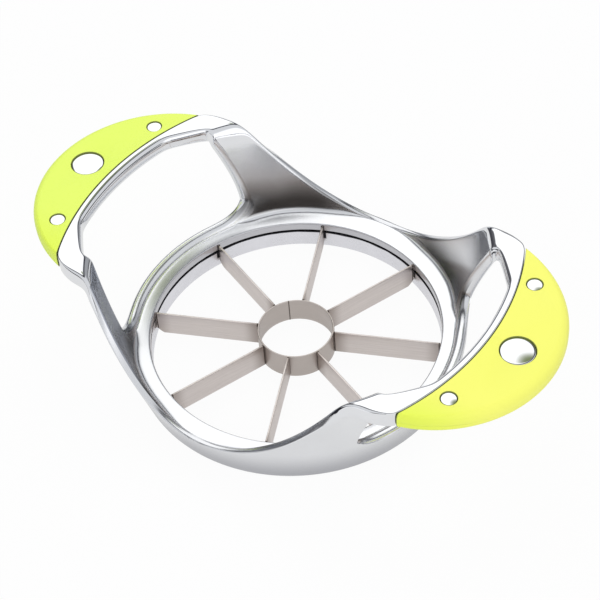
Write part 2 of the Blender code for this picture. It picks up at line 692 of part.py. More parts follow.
def grip_outline(inset):
    """Plan outline of a grip whose outer round is drawn in by inset at the middle and by less at the tips."""
    inner_radius = GRIP_INNER_R + GAP
    reach = GRIP_CENTRE_X + GRIP_R - inset
    span = GRIP_CENTRE_X - GRIP_INNER_CENTRE_X
    along = (inner_radius ** 2 - GRIP_R ** 2 + span ** 2) / (2 * span)
    tip_y = math.sqrt(inner_radius ** 2 - along ** 2) - inset * GRIP_TIP_SHARE
    tip_x = GRIP_INNER_CENTRE_X + math.sqrt(inner_radius ** 2 - tip_y ** 2)
    centre = (reach ** 2 - tip_x ** 2 - tip_y ** 2) / (2 * (reach - tip_x))
    sweep = math.atan2(tip_y, tip_x - centre)
    inner_sweep = math.atan2(tip_y, tip_x - GRIP_INNER_CENTRE_X)
    outline = []
    for step in range(GRIP_STEPS + 1):
        angle = lerp(-sweep, sweep, step / GRIP_STEPS)
        outline.append(Vector((centre + (reach - centre) * math.cos(angle), (reach - centre) * math.sin(angle))))
    for step in range(1, GRIP_STEPS):
        angle = lerp(inner_sweep, -inner_sweep, step / GRIP_STEPS)
        outline.append(Vector((GRIP_INNER_CENTRE_X + inner_radius * math.cos(angle),
                               inner_radius * math.sin(angle))))
    return outline


def rounded_grip(bm, flat, level, round_off):
    """Grip block from the plain height flat to the height level, where its outer edge is rounded."""
    direction = math.copysign(1.0, level - flat)
    rows = [[Vector((point.x, point.y, flat)) for point in grip_outline(0.0)]]
    for step in range(ROUND_OFF_STEPS + 1):
        turn = math.pi / 2 * step / ROUND_OFF_STEPS
        z = level - direction * round_off * (1 - math.sin(turn))
        rows.append([Vector((point.x, point.y, z)) for point in grip_outline(round_off * (1 - math.cos(turn)))])
    sheet(bm, [row + row[:1] for row in rows])
    bmesh.ops.remove_doubles(bm, verts=bm.verts, dist=GAP / 100)
    bmesh.ops.holes_fill(bm, edges=bm.edges)


def make_grips(plastic):
    split_z = PLATE_LOW_Z + GRIP_BASE_THICKNESS
    for side, direction in SIDES:
        bm = bmesh.new()
        rounded_grip(bm, split_z + GAP, HANDLE_TOP_Z, GRIP_ROUND)
        bmesh.ops.scale(bm, verts=bm.verts, vec=(direction, 1, 1))
        cover = finish("grip_" + side + "_cover", bm, plastic)
        bm = bmesh.new()
        prism(bm, crescent(TONGUE_R + GAP, GRIP_INNER_R - TONGUE_ROOT), split_z - OVERRUN, TONGUE_TOP_Z + GAP)
        bmesh.ops.scale(bm, verts=bm.verts, vec=(direction, 1, 1))
        combine(cover, guide(finish("tongue room " + side, bm, None)), "DIFFERENCE")
        bm = bmesh.new()
        for place, x, y, hole_r in boss_places():
            cylinder(bm, hole_r, TONGUE_LOW_Z, HANDLE_TOP_Z + OVERRUN, x * direction, y,
                     SMALL_ROUND_STEPS)
        combine(cover, guide(finish("boss holes " + side, bm, None)), "DIFFERENCE")
        bm = bmesh.new()
        rounded_grip(bm, split_z, PLATE_LOW_Z, GRIP_BASE_ROUND)
        bmesh.ops.scale(bm, verts=bm.verts, vec=(direction, 1, 1))
        base = finish("grip_" + side + "_base", bm, plastic)
        bm = bmesh.new()
        for place, x, y, _ in boss_places():
            cylinder(bm, GRIP_SCREW_HEAD_R + GAP, PLATE_LOW_Z - OVERRUN, split_z + OVERRUN,
                     x * direction, y, SMALL_ROUND_STEPS // 2)
        combine(base, guide(finish("grip screw seats " + side, bm, None)), "DIFFERENCE")


def build():
    chrome = material("polished chrome", (0.80, 0.81, 0.83), 1.0, 0.08)
    steel = material("satin blade steel", (0.62, 0.58, 0.56), 1.0, 0.32)
    satin = material("satin cast ring", (0.63, 0.63, 0.67), 1.0, 0.38)
    zinc = material("screw steel", (0.60, 0.60, 0.62), 1.0, 0.35)
    lime = material("lime plastic", (0.79, 0.95, 0.14), 0.0, 0.45)
    make_frame(chrome)
    make_core_ring(steel)
    make_blades(steel)
    make_holder_ring(satin)
    make_screws(zinc)
    make_grips(lime)


build()
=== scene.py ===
"""Looks of a hand fruit slicer: a chromed casting with satin blades and two lime grips, on a pale floor."""
import math

import bmesh
import bpy
from mathutils import Matrix, Vector


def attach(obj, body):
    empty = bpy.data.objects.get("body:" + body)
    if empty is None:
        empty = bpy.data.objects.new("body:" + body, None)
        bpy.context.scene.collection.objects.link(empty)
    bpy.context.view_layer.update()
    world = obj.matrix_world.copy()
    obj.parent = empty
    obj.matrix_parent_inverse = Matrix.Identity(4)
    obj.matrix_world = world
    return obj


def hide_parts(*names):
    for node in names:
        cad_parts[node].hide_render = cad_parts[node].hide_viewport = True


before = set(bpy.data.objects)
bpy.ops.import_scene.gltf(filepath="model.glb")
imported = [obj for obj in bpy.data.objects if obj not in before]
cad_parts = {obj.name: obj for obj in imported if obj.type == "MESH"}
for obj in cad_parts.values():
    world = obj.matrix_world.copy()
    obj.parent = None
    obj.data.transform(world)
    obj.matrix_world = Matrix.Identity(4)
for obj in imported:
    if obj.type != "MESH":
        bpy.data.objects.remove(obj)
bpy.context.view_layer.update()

# Ring of the casting, in metres
RIM_R = 0.0492
RIM_TOP_Z = 0.0107
RIM_ROUND = 0.0004
WEB_Z = 0.0075
FUNNEL_TOP_Z = 0.0117
FUNNEL_SHARE = 0.6
VALLEY_ROUND = 0.0013
VALLEY_SPREAD = 0.0018
VALLEY_SHARES = (0.33, 0.67)
SKIRT_FOOT_R = 0.0546
SKIRT_MIDDLE_Z = 0.0058
FOOT_ROUND = 0.0004
POCKET_R = 0.0536
# Round edge of the rim, from the bore to the funnel: steps out and up in shares of its rounding
RIM_EDGE = ((0.0, -1.6), (0.0, -0.7), (0.5, -0.1), (1.5, 0.15))

# Leaning wall and its crest
LEAN = math.tan(math.radians(15.1))
WALL = 0.0027
CREST_LOW_Z = 0.0121
CREST_BAND_LOW = 0.0019
CREST_REACH_X = 0.0507
CREST_POWER = 2.2
EDGE_ROUND = 0.0006
# Steps of the crest's round top, in shares of its rounding: beside each face, and near the handle's corner
CREST_STEP = 0.3
CREST_INNER_STEP = 1.6

# Handle ends and hand openings
HANDLE_TOP_Z = 0.0473
PLATE_THICKNESS = 0.006
PLATE_LOW_Z = HANDLE_TOP_Z - PLATE_THICKNESS
CORNER_Z = HANDLE_TOP_Z - 0.005
BEND_DROP = 0.0027
FOOT_LINE_ANGLE = math.radians(50.0)
CROTCH_ANGLE = math.radians(40.4)
CROTCH_Z = 0.019
ARM_TOP_ANGLE = math.radians(32.3)
ARM_EDGE_SKEW = math.radians(3.5)
ARM_TOP_SKEW = math.radians(1.0)
ARM_EDGE_BULGE = 0.0005
ARM_BULGE_SHARE = 0.6
ARM_EDGE_ROUND = 0.0012
ARM_BACK_ROUND = 0.0007
ARM_EDGE_POWER = 1.3
ARM_FOOT_WIDTH = 0.0034
SHOULDER_WIDTH = 0.0043
SHOULDER_ROUND = 0.0017
SHOULDER_BACK_ROUND = 0.0024
SHOULDER_Z = 0.0125
SHOULDER_TURN = math.radians(13.4)
FOLD_OUTER = Vector((0.0529, 0.0433))
FOLD_INNER = Vector((0.0579, 0.0337))
CORNER_PULL = Vector((0.0588, 0.0433))
OPENING_PULL = Vector((0.0602, 0.0316))
OPENING_BEND_Y = 0.0233
BAND_WIDTH = 0.0031
BAND_ROUND = 0.0018
GROOVE_ROUND = 0.0003
CORNER_ROUND = 0.0016
LOW_ROUND = 0.0006
CORNER_DROP = 0.0040
CORNER_LIP = 0.0022
CORNER_BULGE = 0.0003
CORNER_START = 0.84
# How far along the handle band, from the fold, lie the grip's tip and the bend of the opening
TIP_SHARE = 2 / 7
BEND_SHARE = 4 / 7
# Bend from the wall into the band: pull of its curve, least slope, and how fast it leaves the crest's run
BEND_HOLD = 0.72
BEND_SLOPE = 0.25
BEND_LEAVE = 1.5

# Grips
GRIP_R = 0.041
GRIP_CENTRE_X = 0.054
BAND_R = 0.0909
BAND_CENTRE_X = -0.0178
GRIP_SPLIT_Z = PLATE_LOW_Z + 0.0022
GRIP_SEAM = 0.0002
GRIP_EDGE = 0.00003
GRIP_SHELF = GRIP_EDGE * 10
GRIP_ROUND = 0.003
GRIP_BASE_ROUND = 0.0014
GRIP_TIP_SHARE = 0.3
SEAM_LINE = 0.00016
SIDES = (("left", -1), ("right", 1))
# Bosses of the right handle: place, x, y and radius
BOSSES = (
    ("middle", 0.0828, 0.0, 0.00565),
    ("back", 0.0743, 0.0266, 0.00265),
    ("front", 0.0743, -0.0266, 0.00265),
)
# Holes of the grips: steps out and up round their lip in shares of its size, and heights of the cutter's ends
HOLE_LIP = 0.0003
HOLE_EDGE = ((0.0, -1.0), (0.13, -0.5), (0.5, -0.13), (1.2, 0.05))
HOLE_LOW_Z = 0.035
HOLE_HIGH_Z = 0.05
# Domes in the holes: edge points as a share of the radius and a height, crown points as shares of the radius
DOME_GAP = 0.0002
DOME_FOOT_Z = 0.040
DOME_SINK = 0.0004
DOME_EDGE = ((1.0, -0.0003), (0.985, -0.0001), (0.95, 0.0))
DOME_CROWN_SHARE = 0.045
DOME_CROWN_STEPS = (0.85, 0.7, 0.5, 0.3, 0.15)
DOME_CROWN_END = 0.9

# Blades
BLADES = 8
BLADE_TURNS = [math.radians(360 / BLADES * (index + 0.5)) for index in range(BLADES)]
BLADE_TOP_Z = 0.010
BLADE_HEIGHT = 0.0096
BLADE_LOW_Z = BLADE_TOP_Z - BLADE_HEIGHT
BLADE_THICKNESS = 0.0007
BLADE_CORE_GAP = 0.00005
BLADE_RIM_GAP = 0.0003
BLADE_BEVEL = 0.00012
GROUND_HEIGHT = 0.0014
CUTTING_HALF = 0.00008
TAB_REACH = 0.002
CUT_CORNER_HEIGHT = 0.0024
CUT_CORNER_LENGTH = 0.0019
# Slots of the casting for the blades' tabs
SLOT_CLEAR = 0.00022
SLOT_INNER_R = RIM_R - 0.001
SLOT_OUTER_R = RIM_R + 0.0023
SLOT_LOW_Z = WEB_Z - 0.001
SLOT_HIGH_Z = BLADE_TOP_Z + 0.0001

# Core ring
CORE_R = 0.013
CORE_WALL = 0.0006
CORE_ROUND = 0.00015
CORE_SEAM = 0.00018
CORE_SEAM_ANGLE = math.radians(135.0)

# Holder ring
HOLDER_CLEAR = 0.0003
HOLDER_FOOT_ROUND = 0.0003
HOLDER_TOP_ROUND = 0.0002
HOLDER_CHAMFER = 0.0006
HOLDER_GAP = 0.00055

# Fineness of the surfaces
BACK_STEPS = 20
ARM_STEPS = 6
WALL_STEPS = 8
TURN_STEPS = 8
SIDE_STEPS = 6
BEND_STEPS = 6
PLATE_STEPS = 22
EDGE_STEPS = 4
INNER_TURNS = 4
OUTER_TURNS = 3
GRIP_STEPS = 72
ROUND_OFF_STEPS = 8
KNOB_STEPS = 64
CORE_STEPS = 128
HOLDER_STEPS = 192
# Distances under which two points are one
FINE_WELD = 0.000001
WELD = 0.000003
MIRROR_WELD = 0.00001
# Angles in degrees above which an edge shows sharp
SHARP = 35.0
STRIP_SHARP = 25.0

# Finishes: colour and roughness at the low and high side of their noise, and depth of their ripple
NOISE_ENDS = (0.3, 0.7)
CHROME = ((0.86, 0.87, 0.89), (0.90, 0.91, 0.93))
CHROME_SATIN = (0.19, 0.25)
CHROME_MIRROR = (0.04, 0.07)
CHROME_RIPPLE = 0.0004
STEEL = ((0.69, 0.63, 0.60), (0.79, 0.73, 0.70))
STEEL_SATIN = (0.30, 0.42)
HOLDER = ((0.84, 0.84, 0.88), (0.91, 0.91, 0.95))
HOLDER_SATIN = (0.22, 0.32)
LIME_LEFT = ((0.78, 0.97, 0.130), (0.81, 0.98, 0.145))
LIME_RIGHT = ((0.95, 0.97, 0.165), (0.97, 0.98, 0.185))
LIME_ROUGHNESS = 0.45
ZINC = (0.55, 0.62)
ZINC_ROUGHNESS = 0.3
GRAIN_DEPTH = 0.0001
GRAIN_STRETCH = (0.03, 0.03, 1.0)
# Heights between which the chrome goes from satin on the bowl to a mirror on the handle ends
BUFFED_Z = (0.036, 0.041)
# Inside of the walls: radius of its limit at the foot, and height at which the painted shade inside them is
# full
INSIDE_FOOT_R = SKIRT_FOOT_R - WALL * 0.75
INSIDE_FULL_Z = FUNNEL_TOP_Z + VALLEY_ROUND * 1.5
# Painted shade at the foot of the walls' inner faces: heights between which it fades, how far they sway,
# distances aside and along between which it starts, and its colour
FOOT_SHADE = (0.0150, 0.0270)
FOOT_SWAY = 0.004
FOOT_REACH = ((0.006, 0.024), (0.026, 0.038))
FOOT_PAINTED_SHADE_TINT = (0.11, 0.106, 0.105)
# Painted shade on the inner faces of the front walls: distances before the middle between which it starts,
# and its colour
FRONT_REACH = (-0.024, -0.034)
FRONT_PAINTED_SHADE_TINT = (0.42, 0.44, 0.49)
# Painted shade on the skirt, darker towards its foot: height where it starts, and its colour
SKIRT_SHADE_Z = 0.018
SKIRT_PAINTED_SHADE_TINT = (0.475, 0.48, 0.51)
# Painted shade in the bore of the rim above the holder ring: radius up to which it goes, and its colour
BORE_R = RIM_R + 0.0002
BORE_PAINTED_SHADE_TINT = (0.62, 0.62, 0.65)
# Blades: painted shade towards both ends: length of the shaded ends, how strong the shade is at the rim, and
# its colour
BLADE_END_SHADE_REACH = 0.006
BLADE_END_SHADE_RIM_SHARE = 0.8
BLADE_END_SHADE_TINT = (0.44, 0.385, 0.355)
# Core ring's colour, and the dark lines in its seam, at the blades' joints with it and at their outer ends
CORE_TINT = (0.57, 0.515, 0.48)
STEEL_LINE_TINT = (0.10, 0.08, 0.07)
JOINT_LINE_R = CORE_R + CORE_SEAM * 1.5
END_LINE_R = RIM_R - 0.0005
END_LINE_HALF = 0.0002
# Holder ring: painted shade as a dark uneven line at its top, in the crevice under the rim, and as dark slots
# beside the blades
HOLDER_LINE = 0.00042
HOLDER_LINE_SWAY = (0.35, 0.65)
HOLDER_LINE_Z = WEB_Z - HOLDER_GAP - HOLDER_LINE * 0.2
HOLDER_SLOT = 0.0012
HOLDER_SLOT_Z = WEB_Z - HOLDER_SLOT * 3
HOLDER_SHADE_TINT = (0.03, 0.03, 0.035)
# Grips: distance either side of the middle at which each has its own lime, greener front tips, and seam lines
LIME_TURN_X = 0.06
LIME_TIP_Y = (-0.022, -0.042)
LIME_TIP_SHARE = 0.8
LIME_TIP_TINT = (0.76, 0.94, 0.06)
LIME_LINE_TINT = (0.22, 0.26, 0.06)
# Keeps x and y of a place and drops its height
FLAT = (1.0, 1.0, 0.0)

# Floor: how much it shines by itself for the camera and for metal, and how bright metal sees it
FLOOR_R = 0.4
FLOOR_SIDES = 64
FLOOR_COLOUR = (0.78, 0.78, 0.80)
FLOOR_ROUGHNESS = 0.9
FLOOR_SPECULAR = 0.1
FLOOR_CAMERA_GLOW = 0.95
FLOOR_GLOSSY_GLOW = 0.8
FLOOR_REFLECTED = 0.81
# Studio: sky, soft light, and the dark horizon's half height in degrees with the share of it that is even
SKY = (0.72, 0.73, 0.75)
SOFT_SKY = 0.72
HORIZON = 11.0
HORIZON_EVEN = 0.6
HORIZON_COLOUR = (0.02, 0.02, 0.025)
# Softboxes and dark cards: azimuth, elevation, inner and outer half width in degrees, colour
CARDS = (
    (150.0, 10.0, 25.0, 45.0, (0.52, 0.54, 0.57)),
    (85.0, 18.0, 12.0, 25.0, (0.36, 0.37, 0.39)),
    (178.0, 3.0, 16.0, 30.0, (0.07, 0.07, 0.08)),
    (-32.0, 8.0, 24.0, 40.0, (1.20, 1.20, 1.22)),
    (142.0, 50.0, 42.0, 47.0, (0.04, 0.04, 0.05)),
    (142.0, 50.0, 31.5, 34.5, (0.72, 0.73, 0.75)),
    (124.0, 28.0, 7.0, 16.0, (1.15, 1.15, 1.15)),
    (142.0, 50.0, 24.0, 31.0, (1.25, 1.25, 1.25)),
    (101.0, 57.0, 2.0, 10.0, (0.20, 0.24, 0.11)),
    (-106.0, -4.0, 8.0, 16.0, (0.95, 0.96, 0.98)),
    (175.0, 29.0, 12.0, 20.0, (0.12, 0.12, 0.13)),
)
# Lamps: name, place, size and power
LAMPS = (
    ("softbox", (-0.35, 0.55, 0.9), 0.7, 3.0),
    ("fill", (0.5, -0.6, 0.5), 0.6, 2.0),
)
# Camera in the photograph's place: degrees round, up and of roll, lens, and offsets from the blades' middle
CAMERA_ROUND = 37.07
CAMERA_UP = 47.14
CAMERA_ROLL = -4.81
CAMERA_LENS = 98.29
CAMERA_SENSOR = 36.0
CAMERA_NEAR = 0.01
CAMERA_ASIDE = 0.00144
CAMERA_RAISED = 0.00943
CAMERA_AWAY = 0.5521


def lerp(a, b, share):
    return a + (b - a) * share


def ease(share):
    """A share from 0 to 1 that starts and stops softly."""
    share = min(1.0, max(0.0, share))
    return share * share * (3 - 2 * share)


def curve(start, pull, end, share):
    """A point of the quadratic curve that leaves start towards pull and arrives at end."""
    return start.lerp(pull, share).lerp(pull.lerp(end, share), share)


def polar(r, angle, z):
    return Vector((r * math.cos(angle), r * math.sin(angle), z))


def outer_r(z):
    """Radius of the casting's leaning outer face at height z."""
    return SKIRT_FOOT_R + z * LEAN


def crest_z(x):
    return CREST_LOW_Z + (HANDLE_TOP_Z - CREST_LOW_Z) * (x / CREST_REACH_X) ** CREST_POWER


def crest_x(z):
    return CREST_REACH_X * ((z - CREST_LOW_Z) / (HANDLE_TOP_Z - CREST_LOW_Z)) ** (1 / CREST_POWER)


def near_corner(share):
    """How far the crest at that share of its length has turned into the handle's corner."""
    return ease((share - CORNER_START) / (1 - CORNER_START))


def sheet(bm, rows):
    """A grid of faces draped over rows of points."""
    across = len(rows[0])
    grid = bmesh.ops.create_grid(bm, x_segments=across - 1, y_segments=len(rows) - 1, size=1.0)
    for index, vert in enumerate(grid["verts"]):
        vert.co = rows[index // across][index % across]


CORNER_X = crest_x(CORNER_Z)
CORNER_ANGLE = math.acos(CORNER_X / outer_r(CORNER_Z))
WALL_TOP_Z = HANDLE_TOP_Z - BEND_DROP
CROTCH_SHARE = (CROTCH_Z - FUNNEL_TOP_Z) / (WALL_TOP_Z - FUNNEL_TOP_Z)
LEVELS = [lerp(CROTCH_SHARE, 1.0, step / WALL_STEPS) for step in range(WALL_STEPS + 1)]


def wall_line(step):
    """A line up the wall: foot and top angle, inner and outer top height, thickness, share along the arm."""
    if step <= BACK_STEPS:
        share = step / BACK_STEPS
        x = CORNER_X * share
        top = crest_z(x)
        thickness = lerp(CREST_BAND_LOW, WALL, min(1.0, (top - CREST_LOW_Z) / (CROTCH_Z - CREST_LOW_Z)))
        round_off = min(EDGE_ROUND, (top - FUNNEL_TOP_Z) / 2)
        drop = lerp(round_off, CORNER_DROP, near_corner(share))
        foot = lerp(math.pi / 2, FOOT_LINE_ANGLE, share)
        return foot, math.acos(x / outer_r(top)), top - round_off, top - drop, thickness, 0.0
    share = (step - BACK_STEPS) / ARM_STEPS
    foot = lerp(FOOT_LINE_ANGLE, CROTCH_ANGLE, share)
    angle = lerp(CORNER_ANGLE, ARM_TOP_ANGLE, share)
    outer_top = CORNER_Z - lerp(CORNER_DROP, BEND_DROP, share)
    return foot, angle, lerp(CORNER_Z, WALL_TOP_Z, share), outer_top, WALL, share


def wall_columns(step):
    """Inner and outer points of one wall line, from the crotch level up."""
    foot, top, inner_top, outer_top, thickness, along = wall_line(step)
    inner = []
    outer = []
    hold = CROTCH_SHARE * along
    for share in LEVELS:
        up = max(0.0, (share - hold) / (1 - hold)) ** lerp(1.0, ARM_EDGE_POWER, along)
        angle = lerp(foot, top, up)
        z = lerp(FUNNEL_TOP_Z, inner_top, share)
        inner.append(polar(outer_r(z) - thickness, angle, z))
        z = lerp(FUNNEL_TOP_Z, outer_top, share)
        skew = along * lerp(ARM_EDGE_SKEW, ARM_TOP_SKEW, (share - CROTCH_SHARE) / (1 - CROTCH_SHARE))
        outer.append(polar(outer_r(z), angle - skew, z))
    return inner, outer


def crest_chain(step):
    """Round top of the wall, from inner to outer face, that slopes outwards towards the handle's corner."""
    _, angle, _, _, thickness, _ = wall_line(step)
    inner, outer = wall_columns(step)
    top = crest_z(CORNER_X * step / BACK_STEPS)
    near = near_corner(step / BACK_STEPS)
    size = min(EDGE_ROUND, thickness / 3)
    low = outer_r(top) - thickness
    lip = top - CORNER_LIP * near
    fall = top - lerp(size * CREST_STEP, (CORNER_LIP + CORNER_DROP) / 2, near)
    return [
        inner[-1],
        polar(low + size * CREST_STEP, angle, top - size * CREST_STEP),
        polar(low + lerp(size, size * CREST_INNER_STEP, near), angle, top),
        polar(outer_r(lip) - lerp(size, -CORNER_BULGE, near), angle, lip),
        polar(outer_r(fall) - lerp(size * CREST_STEP, -CORNER_BULGE / 2, near), angle, fall),
        outer[-1],
    ]


def ring_inside(angle, thickness, wall_top):
    """Section of the ring from the skirt's middle, round the pocket and rim, to the wall's foot."""
    valley = Vector((outer_r(FUNNEL_TOP_Z) - thickness, FUNNEL_TOP_Z))
    rim = Vector((RIM_R, RIM_TOP_Z))
    rise = Vector((LEAN, 1.0)) * min(VALLEY_ROUND, (wall_top - FUNNEL_TOP_Z) / 3)
    start = rim.lerp(valley, (valley.x - VALLEY_SPREAD - RIM_R) / (valley.x - RIM_R))
    points = [
        (outer_r(SKIRT_MIDDLE_Z), SKIRT_MIDDLE_Z),
        (outer_r(FOOT_ROUND * 2), FOOT_ROUND * 2),
        (outer_r(FOOT_ROUND), FOOT_ROUND),
        (SKIRT_FOOT_R - FOOT_ROUND, 0.0),
        (POCKET_R + FOOT_ROUND / 4, 0.0),
        (POCKET_R, FOOT_ROUND / 4),
        (POCKET_R, WEB_Z - FOOT_ROUND / 2),
        (POCKET_R - FOOT_ROUND / 2, WEB_Z),
        (RIM_R + FOOT_ROUND / 2, WEB_Z),
        (RIM_R, WEB_Z + FOOT_ROUND / 2),
        *((RIM_R + RIM_ROUND * out, RIM_TOP_Z + RIM_ROUND * up) for out, up in RIM_EDGE),
        rim.lerp(start, FUNNEL_SHARE),
        start,
        *(curve(start, valley, valley + rise, share) for share in VALLEY_SHARES),
        valley + rise,
        valley + rise * 2,
    ]
    return [polar(r, angle, z) for r, z in points]


def on_face(point, depth):
    """The same place and height, moved onto the leaning face at that depth in the wall."""
    return polar(outer_r(point.z) - depth, math.atan2(point.y, point.x), point.z)


def opening_corners():
    """Inner and outer corner of the hand opening and its width, down the arm and along the shoulder."""
    inner_side, outer_side = wall_columns(BACK_STEPS + ARM_STEPS)
    corners = [(inner, outer, WALL) for inner, outer in zip(inner_side[::-1], outer_side[::-1])]
    for step in range(1, TURN_STEPS + SIDE_STEPS + 1):
        turn = max(0.0, math.pi / 2 * (1 - step / TURN_STEPS))
        angle = CROTCH_ANGLE - SHOULDER_TURN * (1 - math.sin(turn))
        z = lerp(CROTCH_Z, SHOULDER_Z, math.cos(turn))
        if step > TURN_STEPS:
            angle *= (TURN_STEPS + SIDE_STEPS - step) / SIDE_STEPS
        width = lerp(WALL, SHOULDER_WIDTH, ease(step / TURN_STEPS))
        outer_angle = angle * (1 - ARM_EDGE_SKEW / CROTCH_ANGLE)
        corners.append((polar(outer_r(z) - width, angle, z), polar(outer_r(z), outer_angle, z), width))
    return corners


def edge_chains():
    """Round edge of the hand opening in steps: down the arm, round the crotch and along the shoulder."""
    corners = opening_corners()
    chains = []
    for index, (inner, outer, width) in enumerate(corners):
        before = corners[max(0, index - 1)]
        after = corners[min(index + 1, len(corners) - 1)]
        run = after[0] + after[1] - before[0] - before[1]
        outward = run.cross(outer - inner).normalized()
        if index == len(corners) - 1:
            outward = Vector((0, 0, 1))
        low = ease((index - WALL_STEPS) / TURN_STEPS)
        start = on_face(inner - outward * lerp(ARM_EDGE_ROUND, SHOULDER_ROUND, low), width)
        end = on_face(outer - outward * lerp(ARM_BACK_ROUND, SHOULDER_BACK_ROUND, low), 0.0)
        middle = (inner + outer) / 2 + outward * ARM_EDGE_BULGE
        inner_corner = inner + outward * ARM_EDGE_BULGE * ARM_BULGE_SHARE
        outer_corner = outer + outward * ARM_EDGE_BULGE * ARM_BULGE_SHARE
        chain = [curve(start, inner_corner, middle, step / EDGE_STEPS) for step in range(EDGE_STEPS)]
        chain += [curve(middle, outer_corner, end, step / EDGE_STEPS) for step in range(EDGE_STEPS + 1)]
        chains.append(chain)
    return chains


def grip_meeting(r):
    """X and Y from the handle band's centre where a round of radius r meets the grip's outer round."""
    span = GRIP_CENTRE_X - BAND_CENTRE_X
    along = (r ** 2 - GRIP_R ** 2 + span ** 2) / (2 * span)
    return along, math.sqrt(r ** 2 - along ** 2)


def band_point(r, y):
    """Plan point at y on a round of radius r about the handle band's centre."""
    return Vector((BAND_CENTRE_X + math.sqrt(r ** 2 - y ** 2), y))


def rails(share):
    """Plan points of the handle band's outer and inner sides, from the fold to the middle."""
    along, tip_y = grip_meeting(BAND_R)
    if share <= TIP_SHARE:
        tip = Vector((BAND_CENTRE_X + along, tip_y))
        outer = curve(FOLD_OUTER, CORNER_PULL, tip, share / TIP_SHARE)
    else:
        outer = band_point(BAND_R, tip_y * (1 - share) / (1 - TIP_SHARE))
    inner_r = BAND_R - BAND_WIDTH
    if share <= BEND_SHARE:
        inner = curve(FOLD_INNER, OPENING_PULL, band_point(inner_r, OPENING_BEND_Y), share / BEND_SHARE)
    else:
        inner = band_point(inner_r, OPENING_BEND_Y * (1 - share) / (1 - BEND_SHARE))
    return outer, inner


def rounded(flat, corner, level, up, turns):
    """Points of a quarter round from the edge of a flat face at that level to the corner beside it."""
    reach = corner - flat
    return [Vector((*(flat + reach * math.sin(turn)), level + up * reach.length * (1 - math.cos(turn))))
            for turn in turns]


def plate_row(share):
    """Top, inner side, underside and outer side of the handle band at one place along it."""
    outer, inner = rails(share)
    across = (inner - outer).normalized()
    outer_round = lerp(CORNER_ROUND, GROOVE_ROUND, ease(share / TIP_SHARE))
    low_round = lerp(LOW_ROUND, GROOVE_ROUND, ease(share / TIP_SHARE))
    end = inner - across * BAND_ROUND
    top = []
    low = []
    for step in range(ARM_STEPS + 1):
        top.append(Vector((*(outer + across * outer_round).lerp(end, step / ARM_STEPS), HANDLE_TOP_Z)))
        low.append(Vector((*(outer + across * low_round).lerp(end, step / ARM_STEPS), PLATE_LOW_Z)))
    sides = []
    for edge, corner, steps in ((-1, inner, INNER_TURNS), (0, outer, OUTER_TURNS)):
        turns = [math.pi / 2 * step / (steps - 1) for step in range(steps)]
        side = rounded(top[edge].xy, corner, HANDLE_TOP_Z, -1, turns)
        if steps == INNER_TURNS:
            side.append(Vector((*corner, lerp(PLATE_LOW_Z, HANDLE_TOP_Z, 0.5))))
        side += rounded(low[edge].xy, corner, PLATE_LOW_Z, 1, turns[::-1])
        sides.append(side)
    return top, sides[0], low, sides[1]


def bend_rows(behind, wall, plate, ahead):
    """Rows that carry the wall on along its own slope, and round into the handle band along its run."""
    rows = []
    for step in range(1, BEND_STEPS):
        share = step / BEND_STEPS
        row = []
        for before, start, end, after in zip(behind, wall, plate, ahead):
            slope = (start - before).normalized()
            rise = max(0.0, end.z - start.z)
            turn = start + slope * min(rise / max(slope.z, BEND_SLOPE), (end - start).length)
            first = start.lerp(turn, BEND_HOLD)
            second = end + (end - after).normalized() * (end - turn).length * BEND_HOLD
            row.append(curve(start, first, second, share).lerp(curve(first, second, end, share), share))
        rows.append(row)
    return rows


def end_strip(first, behind, wall, plates, side):
    """Rows of one side of a handle end: the wall's last rows, the bend and the band."""
    band = [row[side] for row in plates]
    return first + bend_rows(behind, wall, band[0], band[1]) + band


def handle_end(bm, columns, chains):
    """Bend and band of one handle end, from the last lines of the wall on."""
    arm_chains = chains[:WALL_STEPS + 1]
    plates = [plate_row(step / PLATE_STEPS) for step in range(PLATE_STEPS + 1)]
    crest = [crest_chain(BACK_STEPS - 1), crest_chain(BACK_STEPS)]
    strips = []
    # The wall's inner face runs into the band's top, and its outer face into the underside
    for face, plate in ((0, 0), (1, 2)):
        wall = [column[face][-1] for column in columns[BACK_STEPS:]]
        below = [column[face][-2] for column in columns[BACK_STEPS:]]
        along_crest = (wall[0] - crest[0][-face]).normalized()
        for index in range(len(wall)):
            up = (wall[index] - below[index]).normalized()
            below[index] = wall[index] - lerp(along_crest, up, min(1.0, index / ARM_STEPS * BEND_LEAVE))
        strips.append(end_strip([wall], below, wall, plates, plate))
    inner_strip = end_strip(arm_chains[::-1], chains[1], chains[0], plates, 1)
    outer_strip = end_strip(crest[1:], crest[0], crest[1], plates, 3)
    for step in range(1, BEND_STEPS):
        inner_strip[WALL_STEPS + step][0] = strips[0][step][-1]
        inner_strip[WALL_STEPS + step][-1] = strips[1][step][-1]
        outer_strip[step][0] = strips[0][step][0]
        outer_strip[step][-1] = strips[1][step][0]
    for strip in (*strips, inner_strip, outer_strip):
        sheet(bm, strip)


